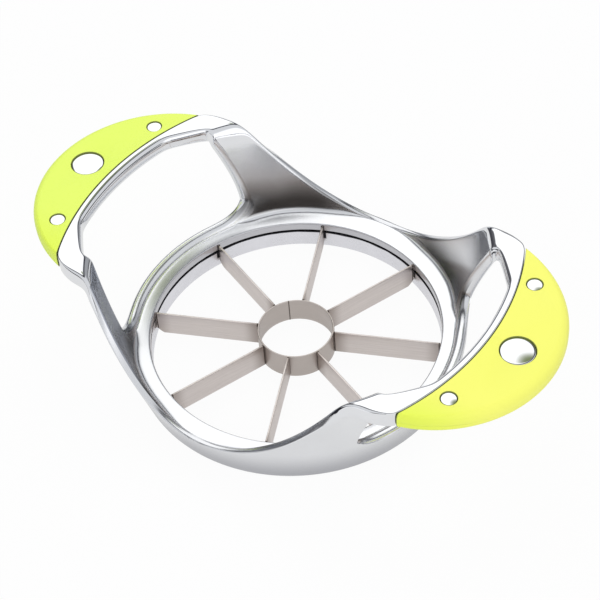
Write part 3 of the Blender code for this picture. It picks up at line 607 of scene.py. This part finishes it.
def casting_quarter(bm):
    """One quarter of the casting: wall and ring, crest, lower side of the opening, and handle end."""
    last = BACK_STEPS + ARM_STEPS
    chains = edge_chains()
    arm_chains = chains[:WALL_STEPS + 1]
    columns = [wall_columns(step) for step in range(last)]
    columns.append(([chain[0] for chain in arm_chains[::-1]], [chain[-1] for chain in arm_chains[::-1]]))
    body = []
    for step, (inner, outer) in enumerate(columns):
        foot_angle, _, inner_top, _, thickness, along = wall_line(step)
        if step == last:
            foot_angle = math.atan2(chains[WALL_STEPS][0].y, chains[WALL_STEPS][0].x)
        thickness = lerp(thickness, ARM_FOOT_WIDTH, along)
        body.append(outer[::-1] + ring_inside(foot_angle, thickness, inner_top) + inner)
    sheet(bm, body)
    sheet(bm, [crest_chain(step) for step in range(BACK_STEPS + 1)])
    side = []
    for step, chain in enumerate(chains[WALL_STEPS:]):
        width = lerp(ARM_FOOT_WIDTH, SHOULDER_WIDTH, ease(step / TURN_STEPS))
        side.append(chain + ring_inside(math.atan2(chain[0].y, chain[0].x), width, chain[0].z) + chain[:1])
    sheet(bm, side)
    handle_end(bm, columns, chains)
    bmesh.ops.remove_doubles(bm, verts=bm.verts, dist=WELD)


def hold(obj):
    """Make what the modifiers give the object's own mesh."""
    bpy.context.view_layer.update()
    held = bpy.data.meshes.new_from_object(obj.evaluated_get(bpy.context.evaluated_depsgraph_get()))
    obj.modifiers.clear()
    obj.data = held


def solid_object(name, bm):
    """Put a closed bmesh into the scene."""
    mesh = bpy.data.meshes.new(name)
    bmesh.ops.recalc_face_normals(bm, faces=bm.faces)
    bm.to_mesh(mesh)
    bm.free()
    obj = bpy.data.objects.new(name, mesh)
    bpy.context.collection.objects.link(obj)
    return obj


def piece(name, bm, finish, slot, *nodes, sharp=SHARP, levels=0):
    """Finish a bmesh as a named piece that rides on the root body and stands for CAD nodes."""
    obj = solid_object(name, bm)
    if levels:
        smooth = obj.modifiers.new("Subdivision", "SUBSURF")
        smooth.levels = levels
        smooth.render_levels = levels
        hold(obj)
        obj.data.name = name
    obj.data.shade_smooth()
    obj.data.set_sharp_from_angle(angle=math.radians(sharp))
    obj.data.materials.clear()
    obj.data.materials.append(finish)
    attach(obj, "root")
    if nodes:
        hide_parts(*nodes)
    return obj


def cut(obj, bm):
    """Take a closed bmesh out of a piece."""
    tool = solid_object("cutter", bm)
    change = obj.modifiers.new("Cut", "BOOLEAN")
    change.operation = "DIFFERENCE"
    change.object = tool
    change.solver = "EXACT"
    hold(obj)
    obj.data.set_sharp_from_angle(angle=math.radians(SHARP))
    bpy.data.objects.remove(tool)


def add_box(bm, low, high, turn):
    made = bmesh.ops.create_cube(bm, size=1.0)
    bmesh.ops.scale(bm, verts=made["verts"], vec=high - low)
    bmesh.ops.translate(bm, verts=made["verts"], vec=(low + high) / 2)
    bmesh.ops.rotate(bm, verts=made["verts"], cent=(0, 0, 0), matrix=Matrix.Rotation(turn, 3, "Z"))


def spun(bm, profile, steps):
    """Spin a closed profile of (radius, z) points round the Z axis."""
    verts = [bm.verts.new((r, 0, z)) for r, z in profile]
    geom = [bm.edges.new((verts[i - 1], verts[i])) for i in range(len(verts))]
    bmesh.ops.spin(bm, geom=geom, cent=(0, 0, 0), axis=(0, 0, 1), angle=math.tau, steps=steps, use_merge=True)


def turned_knob(bm, rows, x, y):
    """Spin an open profile, which starts and ends on the axis at x and y, into a closed round solid."""
    verts = [bm.verts.new((x + r, y, z)) for r, z in rows]
    geom = verts + [bm.edges.new((verts[i], verts[i + 1])) for i in range(len(verts) - 1)]
    bmesh.ops.spin(bm, geom=geom, cent=(x, y, 0), axis=(0, 0, 1), angle=math.tau, steps=KNOB_STEPS,
                   use_merge=True)
    bmesh.ops.remove_doubles(bm, verts=bm.verts, dist=WELD)


def grey(value):
    return (value, value, value)


class Nodes:
    """Short hand for the node tree of a material or the world."""

    def __init__(self, owner):
        owner.use_nodes = True
        self.tree = owner.node_tree

    def add(self, kind, inputs=(), **settings):
        """A node with its settings, whose inputs are linked to sockets or set to values."""
        node = self.tree.nodes.new(kind)
        for key, value in settings.items():
            setattr(node, key, value)
        for key, value in dict(inputs).items():
            if isinstance(value, bpy.types.NodeSocket):
                self.tree.links.new(value, node.inputs[key])
            else:
                node.inputs[key].default_value = value
        return node

    def calc(self, operation, *values):
        return self.add("ShaderNodeMath", dict(enumerate(values)), operation=operation).outputs[0]

    def chain(self, operation, result, *values):
        """The same sum taken on with one value after another."""
        for value in values:
            result = self.calc(operation, result, value)
        return result

    def vector(self, operation, *values):
        """Both outputs of a sum with vectors: Vector and Value."""
        return self.add("ShaderNodeVectorMath", dict(enumerate(values)), operation=operation).outputs

    def span(self, value, start, full, low=0.0, high=1.0, kind="LINEAR"):
        """Goes from low to high while the value goes from start to full."""
        inputs = {"Value": value, "From Min": start, "From Max": full, "To Min": low, "To Max": high}
        return self.add("ShaderNodeMapRange", inputs, interpolation_type=kind).outputs[0]

    def fade(self, value, start, full, low=0.0, high=1.0):
        """The same as span, with soft ends."""
        return self.span(value, start, full, low, high, "SMOOTHSTEP")

    def mix(self, share, first, second):
        """Colour between two that are sockets or plain colours."""
        ends = [(*end, 1.0) if isinstance(end, tuple) else end for end in (first, second)]
        inputs = {"Factor": share, "A": ends[0], "B": ends[1]}
        return self.add("ShaderNodeMix", inputs, data_type="RGBA").outputs["Result"]


class Finish(Nodes):
    """Node tree of a material that stands on the object's own coordinates."""

    def __init__(self, name, metal=0.0):
        self.material = bpy.data.materials.new(name)
        super().__init__(self.material)
        self.shader = self.tree.nodes["Principled BSDF"]
        self.shader.inputs["Metallic"].default_value = metal
        self.place = self.add("ShaderNodeTexCoord").outputs["Object"]

    def noise(self, scale, detail=2.0, place=None):
        if place is None:
            place = self.place
        inputs = {"Vector": place, "Scale": scale, "Detail": detail}
        return self.add("ShaderNodeTexNoise", inputs).outputs["Fac"]

    def ramp(self, value, low, high):
        """Colour that goes from low to high over the middle of a noise."""
        node = self.add("ShaderNodeValToRGB", {"Fac": value})
        for element, position, colour in zip(node.color_ramp.elements, NOISE_ENDS, (low, high)):
            element.position = position
            element.color = (*colour, 1.0)
        return node.outputs["Color"]

    def rough(self, value, ends):
        """Roughness that goes from one end to the other over the middle of a noise."""
        return self.ramp(value, grey(ends[0]), grey(ends[1]))

    def side(self, axis):
        return self.add("ShaderNodeSeparateXYZ", {0: self.place}).outputs[axis]

    def cylinder(self):
        """Height, distance from the upright axis and angle round it."""
        split = self.add("ShaderNodeSeparateXYZ", {0: self.place}).outputs
        flat = self.vector("MULTIPLY", self.place, FLAT)["Vector"]
        reach = self.vector("LENGTH", flat)["Value"]
        return split["Z"], reach, self.calc("ARCTAN2", split["Y"], split["X"])

    def bump(self, height, strength, depth):
        node = self.add("ShaderNodeBump", {"Height": height, "Strength": strength, "Distance": depth})
        self.link(node.outputs[0], "Normal")

    def link(self, output, name):
        self.tree.links.new(output, self.shader.inputs[name])


def chrome_finish():
    """Chrome, satin below and buffed above, with painted shade on the walls' inner faces at their foot and at
    the front, in the bore and down the skirt.
    """
    made = Finish("chrome plate", metal=1.0)
    cloud = made.noise(scale=60.0, detail=3.0)
    height, reach, _ = made.cylinder()
    inside = made.calc("LESS_THAN", reach, made.calc("MULTIPLY_ADD", height, LEAN, INSIDE_FOOT_R))
    outside = made.calc("SUBTRACT", 1.0, inside)
    above = made.fade(height, FUNNEL_TOP_Z, INSIDE_FULL_Z)
    below = made.calc("LESS_THAN", height, WALL_TOP_Z)
    # Painted shade: the chrome darkens towards the foot of the walls' inner faces
    sway = made.span(made.noise(scale=35.0, detail=1.0), 0.0, 1.0, -FOOT_SWAY, FOOT_SWAY)
    foot = made.fade(made.calc("ADD", height, sway), *FOOT_SHADE, 1.0, 0.0)
    aside = [made.fade(made.calc("ABSOLUTE", made.side(axis)), *ends) for axis, ends in enumerate(FOOT_REACH)]
    painted_foot_shade = made.chain("MULTIPLY", foot, inside, above, *aside)
    # Painted shade on the inner faces of the front walls
    front = made.chain("MULTIPLY", made.fade(made.side(1), *FRONT_REACH), inside, above, below)
    # Painted shade down the skirt, darker towards its foot
    skirt = made.calc("MULTIPLY", made.fade(height, 0.0, SKIRT_SHADE_Z, 1.0, 0.0), outside)
    # Painted shade in the bore of the rim
    bore = made.calc("LESS_THAN", reach, BORE_R)
    colour = made.ramp(cloud, *CHROME)
    for share, tint in ((front, FRONT_PAINTED_SHADE_TINT), (skirt, SKIRT_PAINTED_SHADE_TINT), (bore, BORE_PAINTED_SHADE_TINT), (painted_foot_shade, FOOT_PAINTED_SHADE_TINT)):
        colour = made.mix(share, colour, tint)
    made.link(colour, "Base Color")
    gloss = made.span(height, *BUFFED_Z)
    made.link(made.mix(gloss, made.rough(cloud, CHROME_SATIN), made.rough(cloud, CHROME_MIRROR)), "Roughness")
    made.bump(made.noise(scale=70.0, detail=1.0), strength=0.12, depth=CHROME_RIPPLE)
    return made.material


def blade_finish():
    """Satin steel with a grain along the strips, painted shade towards the ends, and dark lines at the seam
    and blade ends.
    """
    made = Finish("satin blade steel", metal=1.0)
    height, reach, turn = made.cylinder()
    along = made.calc("MULTIPLY", turn, CORE_R)
    strip = made.add("ShaderNodeCombineXYZ", {"X": reach, "Y": along, "Z": height}).outputs[0]
    lines = made.add("ShaderNodeMapping", {"Vector": strip, "Scale": GRAIN_STRETCH}).outputs[0]
    grain = made.noise(scale=3000.0, detail=3.0, place=lines)
    # Painted shade towards the blades' ends, near the core and at the rim
    inner = made.fade(reach, CORE_R, CORE_R + BLADE_END_SHADE_REACH, 1.0, 0.0)
    outer = made.fade(reach, RIM_R - BLADE_END_SHADE_REACH, RIM_R, 0.0, BLADE_END_SHADE_RIM_SHARE)
    painted_end_shade = made.calc("MAXIMUM", inner, outer)
    core = made.calc("LESS_THAN", reach, CORE_R)
    seam = made.calc("COMPARE", turn, CORE_SEAM_ANGLE, CORE_SEAM / CORE_R)
    seam = made.calc("MULTIPLY", seam, core)
    joint = made.calc("COMPARE", reach, JOINT_LINE_R, CORE_SEAM)
    end = made.calc("COMPARE", reach, END_LINE_R, END_LINE_HALF)
    line = made.chain("MAXIMUM", seam, joint, end)
    colour = made.ramp(grain, *STEEL)
    for share, tint in ((painted_end_shade, BLADE_END_SHADE_TINT), (core, CORE_TINT), (line, STEEL_LINE_TINT)):
        colour = made.mix(share, colour, tint)
    made.link(colour, "Base Color")
    made.link(made.rough(grain, STEEL_SATIN), "Roughness")
    made.bump(grain, strength=0.1, depth=GRAIN_DEPTH)
    return made.material


def ring_finish():
    """Satin cast metal with painted shade: a dark uneven line along its top and a dark slot at each blade."""
    made = Finish("satin cast ring", metal=1.0)
    cloud = made.noise(scale=120.0, detail=3.0)
    height, _, turn = made.cylinder()
    # Painted shade: a dark uneven line along the top, in the crevice under the rim
    sway = made.span(made.noise(scale=70.0), *HOLDER_LINE_SWAY, 0.0, HOLDER_LINE)
    line = made.calc("GREATER_THAN", made.calc("ADD", height, sway), HOLDER_LINE_Z)
    # Painted shade: a dark slot beside each blade
    place = made.calc("FRACT", made.calc("MULTIPLY", turn, BLADES / math.tau))
    # Each blade stands in the middle of its share of the turn
    slot = made.calc("COMPARE", place, 0.5, HOLDER_SLOT / RIM_R * BLADES / math.tau)
    slot = made.calc("MULTIPLY", slot, made.calc("GREATER_THAN", height, HOLDER_SLOT_Z))
    dark = made.calc("MAXIMUM", line, slot)
    made.link(made.mix(dark, made.ramp(cloud, *HOLDER), HOLDER_SHADE_TINT), "Base Color")
    made.link(made.rough(cloud, HOLDER_SATIN), "Roughness")
    made.bump(made.noise(scale=500.0, detail=3.0), strength=0.15, depth=GRAIN_DEPTH)
    return made.material


def lime_finish():
    """Lime plastic, greener on the left and at the front tips, with thin dark lines at band and holes."""
    made = Finish("lime plastic")
    cloud = made.noise(scale=30.0)
    across = made.span(made.side(0), -LIME_TURN_X, LIME_TURN_X)
    body = made.mix(across, made.ramp(cloud, *LIME_LEFT), made.ramp(cloud, *LIME_RIGHT))
    tip = made.fade(made.side(1), *LIME_TIP_Y, 0.0, LIME_TIP_SHARE)
    body = made.mix(tip, body, LIME_TIP_TINT)
    quarter = made.vector("MULTIPLY", made.vector("ABSOLUTE", made.place)["Vector"], FLAT)["Vector"]
    rings = [(BAND_CENTRE_X, 0.0, BAND_R + GRIP_SEAM)] + [(x, y, r) for _, x, y, r in BOSSES if y >= 0]
    lines = []
    for x, y, r in rings:
        reach = made.vector("DISTANCE", quarter, (x, y, 0.0))["Value"]
        lines.append(made.span(reach, r + SEAM_LINE * 0.5, r + SEAM_LINE, 1.0, 0.0))
    made.link(made.mix(made.chain("MAXIMUM", *lines), body, LIME_LINE_TINT), "Base Color")
    made.shader.inputs["Roughness"].default_value = LIME_ROUGHNESS
    made.bump(made.noise(scale=900.0, detail=3.0), strength=0.12, depth=GRAIN_DEPTH)
    return made.material


def screw_finish():
    made = Finish("plated screw steel", metal=1.0)
    made.link(made.rough(made.noise(scale=300.0), ZINC), "Base Color")
    made.shader.inputs["Roughness"].default_value = ZINC_ROUGHNESS
    return made.material


def make_casting(chrome):
    bm = bmesh.new()
    casting_quarter(bm)
    for axis in ("Y", "X"):
        bmesh.ops.mirror(bm, geom=bm.verts[:] + bm.edges[:] + bm.faces[:], axis=axis, merge_dist=MIRROR_WELD)
    casting = piece("casting", bm, chrome, "frame_chrome", "frame", levels=1)
    slots = bmesh.new()
    half = BLADE_THICKNESS / 2 + SLOT_CLEAR
    low = Vector((SLOT_INNER_R, -half, SLOT_LOW_Z))
    high = Vector((SLOT_OUTER_R, half, SLOT_HIGH_Z))
    for turn in BLADE_TURNS:
        add_box(slots, low, high, turn)
    cut(casting, slots)


def blade_strip():
    """Bmesh of a blade that lies along X: a strip with a tab, a cut lower corner and a ground lower edge."""
    half = BLADE_THICKNESS / 2
    inner = CORE_R + BLADE_CORE_GAP
    wall = RIM_R - BLADE_RIM_GAP
    outer = RIM_R + TAB_REACH
    ground_z = BLADE_LOW_Z + GROUND_HEIGHT
    tab_z = BLADE_LOW_Z + CUT_CORNER_HEIGHT
    corner_x = wall - CUT_CORNER_LENGTH
    ground_x = lerp(corner_x, wall, GROUND_HEIGHT / CUT_CORNER_HEIGHT)
    outline = [(inner, ground_z), (ground_x, ground_z), (wall, tab_z), (outer, tab_z), (outer, BLADE_TOP_Z),
               (inner, BLADE_TOP_Z)]
    bm = bmesh.new()
    face = bm.faces.new([bm.verts.new((x, -half, z)) for x, z in outline])
    lifted = bmesh.ops.extrude_face_region(bm, geom=[face])["geom"]
    lifted = [v for v in lifted if isinstance(v, bmesh.types.BMVert)]
    bmesh.ops.translate(bm, verts=lifted, vec=(0, BLADE_THICKNESS, 0))
    under = [f for f in bm.faces if all(abs(v.co.z - ground_z) < FINE_WELD for v in f.verts)]
    ground = bmesh.ops.extrude_face_region(bm, geom=under)["geom"]
    bmesh.ops.delete(bm, geom=under, context="FACES_ONLY")
    for vert in ground:
        if isinstance(vert, bmesh.types.BMVert):
            vert.co.z = BLADE_LOW_Z
            vert.co.y = math.copysign(CUTTING_HALF, vert.co.y)
            if vert.co.x > corner_x:
                vert.co.x = corner_x
    top = [e for e in bm.edges if all(abs(v.co.z - BLADE_TOP_Z) < FINE_WELD for v in e.verts)
           and abs(e.verts[0].co.x - e.verts[1].co.x) > BLADE_THICKNESS]
    bmesh.ops.bevel(bm, geom=top, offset=BLADE_BEVEL, segments=2, profile=0.5, affect="EDGES", material=-1)
    return bm


def make_blades(steel):
    for index, turn in enumerate(BLADE_TURNS):
        bm = blade_strip()
        bmesh.ops.rotate(bm, verts=bm.verts, cent=(0, 0, 0), matrix=Matrix.Rotation(turn, 3, "Z"))
        number = str(index + 1)
        piece("blade_strip_" + number, bm, steel, "blade_steel", "blade_" + number, sharp=STRIP_SHARP)


def make_core(steel):
    bm = bmesh.new()
    inner = CORE_R - CORE_WALL
    top = BLADE_TOP_Z - CORE_ROUND
    profile = [(CORE_R, top), (CORE_R - CORE_ROUND, BLADE_TOP_Z), (inner + CORE_ROUND, BLADE_TOP_Z),
               (inner, top), (inner, BLADE_LOW_Z + GROUND_HEIGHT), (CORE_R - CORE_ROUND, BLADE_LOW_Z),
               (CORE_R, BLADE_LOW_Z)]
    spun(bm, profile, CORE_STEPS)
    piece("core_strip", bm, steel, "blade_steel", "core_ring", sharp=STRIP_SHARP)


def make_holder(satin):
    bm = bmesh.new()
    outer = POCKET_R - HOLDER_CLEAR
    top = WEB_Z - HOLDER_GAP
    profile = [(outer, HOLDER_FOOT_ROUND), (outer, top), (RIM_R + HOLDER_TOP_ROUND, top),
               (RIM_R, top - HOLDER_TOP_ROUND), (RIM_R, HOLDER_CHAMFER), (RIM_R + HOLDER_CHAMFER, 0.0),
               (outer - HOLDER_FOOT_ROUND, 0.0)]
    spun(bm, profile, HOLDER_STEPS)
    piece("holder_band", bm, satin, "ring_satin", "holder_ring", sharp=STRIP_SHARP)


def grip_outline(inset):
    """Plan outline of a grip whose outer round is drawn in by inset at the middle and by less at the tips."""
    inner_r = BAND_R + GRIP_SEAM
    reach = GRIP_CENTRE_X + GRIP_R - inset
    _, tip_y = grip_meeting(inner_r)
    tip_y -= inset * GRIP_TIP_SHARE
    tip_x = BAND_CENTRE_X + math.sqrt(inner_r ** 2 - tip_y ** 2)
    centre = (reach ** 2 - tip_x ** 2 - tip_y ** 2) / (2 * (reach - tip_x))
    sweep = math.atan2(tip_y, tip_x - centre)
    outline = [polar(reach - centre, lerp(-sweep, sweep, step / GRIP_STEPS), 0) + Vector((centre, 0, 0))
               for step in range(GRIP_STEPS + 1)]
    sweep = math.atan2(tip_y, tip_x - BAND_CENTRE_X)
    outline += [polar(inner_r, lerp(sweep, -sweep, step / GRIP_STEPS), 0) + Vector((BAND_CENTRE_X, 0, 0))
                for step in range(1, GRIP_STEPS)]
    return outline


def grip_shell(direction, flat, level, size):
    """Half of a grip, from its plain side at one height to the height where its outer edge is rounded."""
    bm = bmesh.new()
    out = math.copysign(1.0, level - flat)
    rows = [(flat, GRIP_SHELF), (flat, GRIP_EDGE), (flat + out * GRIP_EDGE, 0.0)]
    for step in range(ROUND_OFF_STEPS + 1):
        turn = math.pi / 2 * step / ROUND_OFF_STEPS
        rows.append((level - out * size * (1 - math.sin(turn)), size * (1 - math.cos(turn))))
    rows.append((level, size + GRIP_SHELF))
    rings = [[point + Vector((0, 0, z)) for point in grip_outline(inset)] for z, inset in rows]
    sheet(bm, [ring + ring[:1] for ring in rings])
    bmesh.ops.remove_doubles(bm, verts=bm.verts, dist=FINE_WELD)
    bmesh.ops.holes_fill(bm, edges=bm.edges)
    bmesh.ops.scale(bm, verts=bm.verts, vec=(direction, 1, 1))
    return bm


def make_grips(lime):
    for side, direction in SIDES:
        bm = grip_shell(direction, GRIP_SPLIT_Z + GRIP_EDGE, HANDLE_TOP_Z, GRIP_ROUND)
        cover = piece("grip_cover_" + side, bm, lime, "grip_lime", "grip_" + side + "_cover")
        cutter = bmesh.new()
        for _, x, y, r in BOSSES:
            edge = [(r + HOLE_LIP * out, HANDLE_TOP_Z + HOLE_LIP * up) for out, up in HOLE_EDGE]
            rows = [(0.0, HOLE_LOW_Z), (r, HOLE_LOW_Z), *edge, (edge[-1][0], HOLE_HIGH_Z), (0.0, HOLE_HIGH_Z)]
            turned_knob(cutter, rows, x * direction, y)
        cut(cover, cutter)
        bm = grip_shell(direction, GRIP_SPLIT_Z - GRIP_EDGE, PLATE_LOW_Z, GRIP_BASE_ROUND)
        piece("grip_base_" + side, bm, lime, "grip_lime", "grip_" + side + "_base")


def make_domes(chrome):
    """Crowned chrome buttons of the casting that fill the grips' holes."""
    skirt = HANDLE_TOP_Z - DOME_SINK
    for side, direction in SIDES:
        for place, x, y, hole_r in BOSSES:
            bm = bmesh.new()
            r = hole_r - DOME_GAP
            crown = r * DOME_CROWN_SHARE
            rows = [(0.0, DOME_FOOT_Z), (r, DOME_FOOT_Z)]
            rows += [(r * share, skirt + rise) for share, rise in DOME_EDGE]
            rows += [(r * share, skirt + crown * (1 - share * share / DOME_CROWN_END))
                     for share in DOME_CROWN_STEPS]
            rows.append((0.0, skirt + crown))
            turned_knob(bm, rows, x * direction, y)
            piece("dome_" + side + "_" + place, bm, chrome, "frame_chrome")


def make_floor():
    """Pale floor: close to white where the camera sees it, and softer where metal reflects it."""
    bm = bmesh.new()
    bmesh.ops.create_circle(bm, cap_ends=True, segments=FLOOR_SIDES, radius=FLOOR_R)
    mesh = bpy.data.meshes.new("floor")
    bm.to_mesh(mesh)
    bm.free()
    floor = bpy.data.objects.new("floor", mesh)
    bpy.context.collection.objects.link(floor)
    made = Finish("pale floor")
    made.shader.inputs["Base Color"].default_value = (*FLOOR_COLOUR, 1.0)
    made.shader.inputs["Roughness"].default_value = FLOOR_ROUGHNESS
    made.shader.inputs["Specular IOR Level"].default_value = FLOOR_SPECULAR
    path = made.add("ShaderNodeLightPath").outputs
    glow = made.span(path["Is Camera Ray"], 0.0, 1.0, FLOOR_REFLECTED, 1.0)
    lit = made.add("ShaderNodeEmission", {"Color": (*grey(1.0), 1.0), "Strength": glow}).outputs[0]
    seen = made.calc("MULTIPLY", path["Is Camera Ray"], FLOOR_CAMERA_GLOW)
    reflected = made.calc("MULTIPLY", path["Is Glossy Ray"], FLOOR_GLOSSY_GLOW)
    share = made.calc("ADD", seen, reflected)
    surface = made.add("ShaderNodeMixShader", {0: share, 1: made.shader.outputs[0], 2: lit}).outputs[0]
    made.tree.links.new(surface, made.tree.nodes["Material Output"].inputs["Surface"])
    mesh.materials.append(made.material)


def sky_way(azimuth, elevation):
    """Direction in the studio from angles in degrees."""
    azimuth = math.radians(azimuth)
    elevation = math.radians(elevation)
    level = math.cos(elevation)
    return Vector((math.cos(azimuth) * level, math.sin(azimuth) * level, math.sin(elevation)))


def make_world():
    """Studio: white for the camera, even for soft light, with softboxes and dark cards in reflections."""
    world = bpy.data.worlds.new("studio")
    bpy.context.scene.world = world
    made = Nodes(world)
    way = made.add("ShaderNodeTexCoord").outputs["Generated"]
    height = made.add("ShaderNodeSeparateXYZ", {0: way}).outputs["Z"]
    edge = math.sin(math.radians(HORIZON))
    share = made.span(made.calc("ABSOLUTE", height), edge * HORIZON_EVEN, edge, 1.0, 0.0)
    colour = made.mix(share, SKY, HORIZON_COLOUR)
    for azimuth, elevation, inner, outer, tint in CARDS:
        near = made.vector("DOT_PRODUCT", way, sky_way(azimuth, elevation))["Value"]
        share = made.fade(near, math.cos(math.radians(outer)), math.cos(math.radians(inner)))
        colour = made.mix(share, colour, tint)
    path = made.add("ShaderNodeLightPath").outputs
    colour = made.mix(path["Is Diffuse Ray"], colour, grey(SOFT_SKY))
    seen = made.calc("MAXIMUM", path["Is Camera Ray"], path["Is Transmission Ray"])
    colour = made.mix(seen, colour, grey(1.0))
    made.tree.links.new(colour, made.tree.nodes["Background"].inputs["Color"])


def make_lamps():
    """Soft lamps aimed at the middle, which show in no reflection."""
    for name, place, size, power in LAMPS:
        lamp = bpy.data.lights.new(name, "AREA")
        lamp.shape = "SQUARE"
        lamp.size = size
        lamp.energy = power
        obj = bpy.data.objects.new(name, lamp)
        obj.location = place
        obj.rotation_euler = (-Vector(place)).to_track_quat("-Z", "Y").to_euler()
        obj.visible_glossy = False
        bpy.context.collection.objects.link(obj)


def make_camera():
    """The photograph's view, rolled a little, through a long lens."""
    azimuth, elevation, roll = (math.radians(value) for value in (CAMERA_ROUND, CAMERA_UP, CAMERA_ROLL))
    flat = math.cos(elevation)
    back = Vector((math.sin(azimuth) * flat, -math.cos(azimuth) * flat, math.sin(elevation)))
    level = Vector((math.cos(azimuth), math.sin(azimuth), 0.0))
    rise = back.cross(level)
    right = level * math.cos(roll) + rise * math.sin(roll)
    up = rise * math.cos(roll) - level * math.sin(roll)
    data = bpy.data.cameras.new("camera")
    data.sensor_width = CAMERA_SENSOR
    data.lens = CAMERA_LENS
    data.clip_start = CAMERA_NEAR
    camera = bpy.data.objects.new("camera", data)
    bpy.context.collection.objects.link(camera)
    place = right * CAMERA_ASIDE + up * CAMERA_RAISED + back * CAMERA_AWAY + Vector((0, 0, BLADE_TOP_Z))
    turned = Matrix((right, up, back)).transposed().to_4x4()
    camera.matrix_world = Matrix.Translation(place) @ turned
    bpy.context.scene.camera = camera


bpy.context.scene.view_settings.view_transform = "Standard"
chrome = chrome_finish()
steel = blade_finish()
satin = ring_finish()
lime = lime_finish()
zinc = screw_finish()
make_casting(chrome)
make_blades(steel)
make_core(steel)
make_holder(satin)
make_grips(lime)
make_domes(chrome)
for name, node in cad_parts.items():
    if "screw" in name:
        node.data.materials.clear()
        node.data.materials.append(zinc)
make_floor()
make_world()
make_lamps()
make_camera()
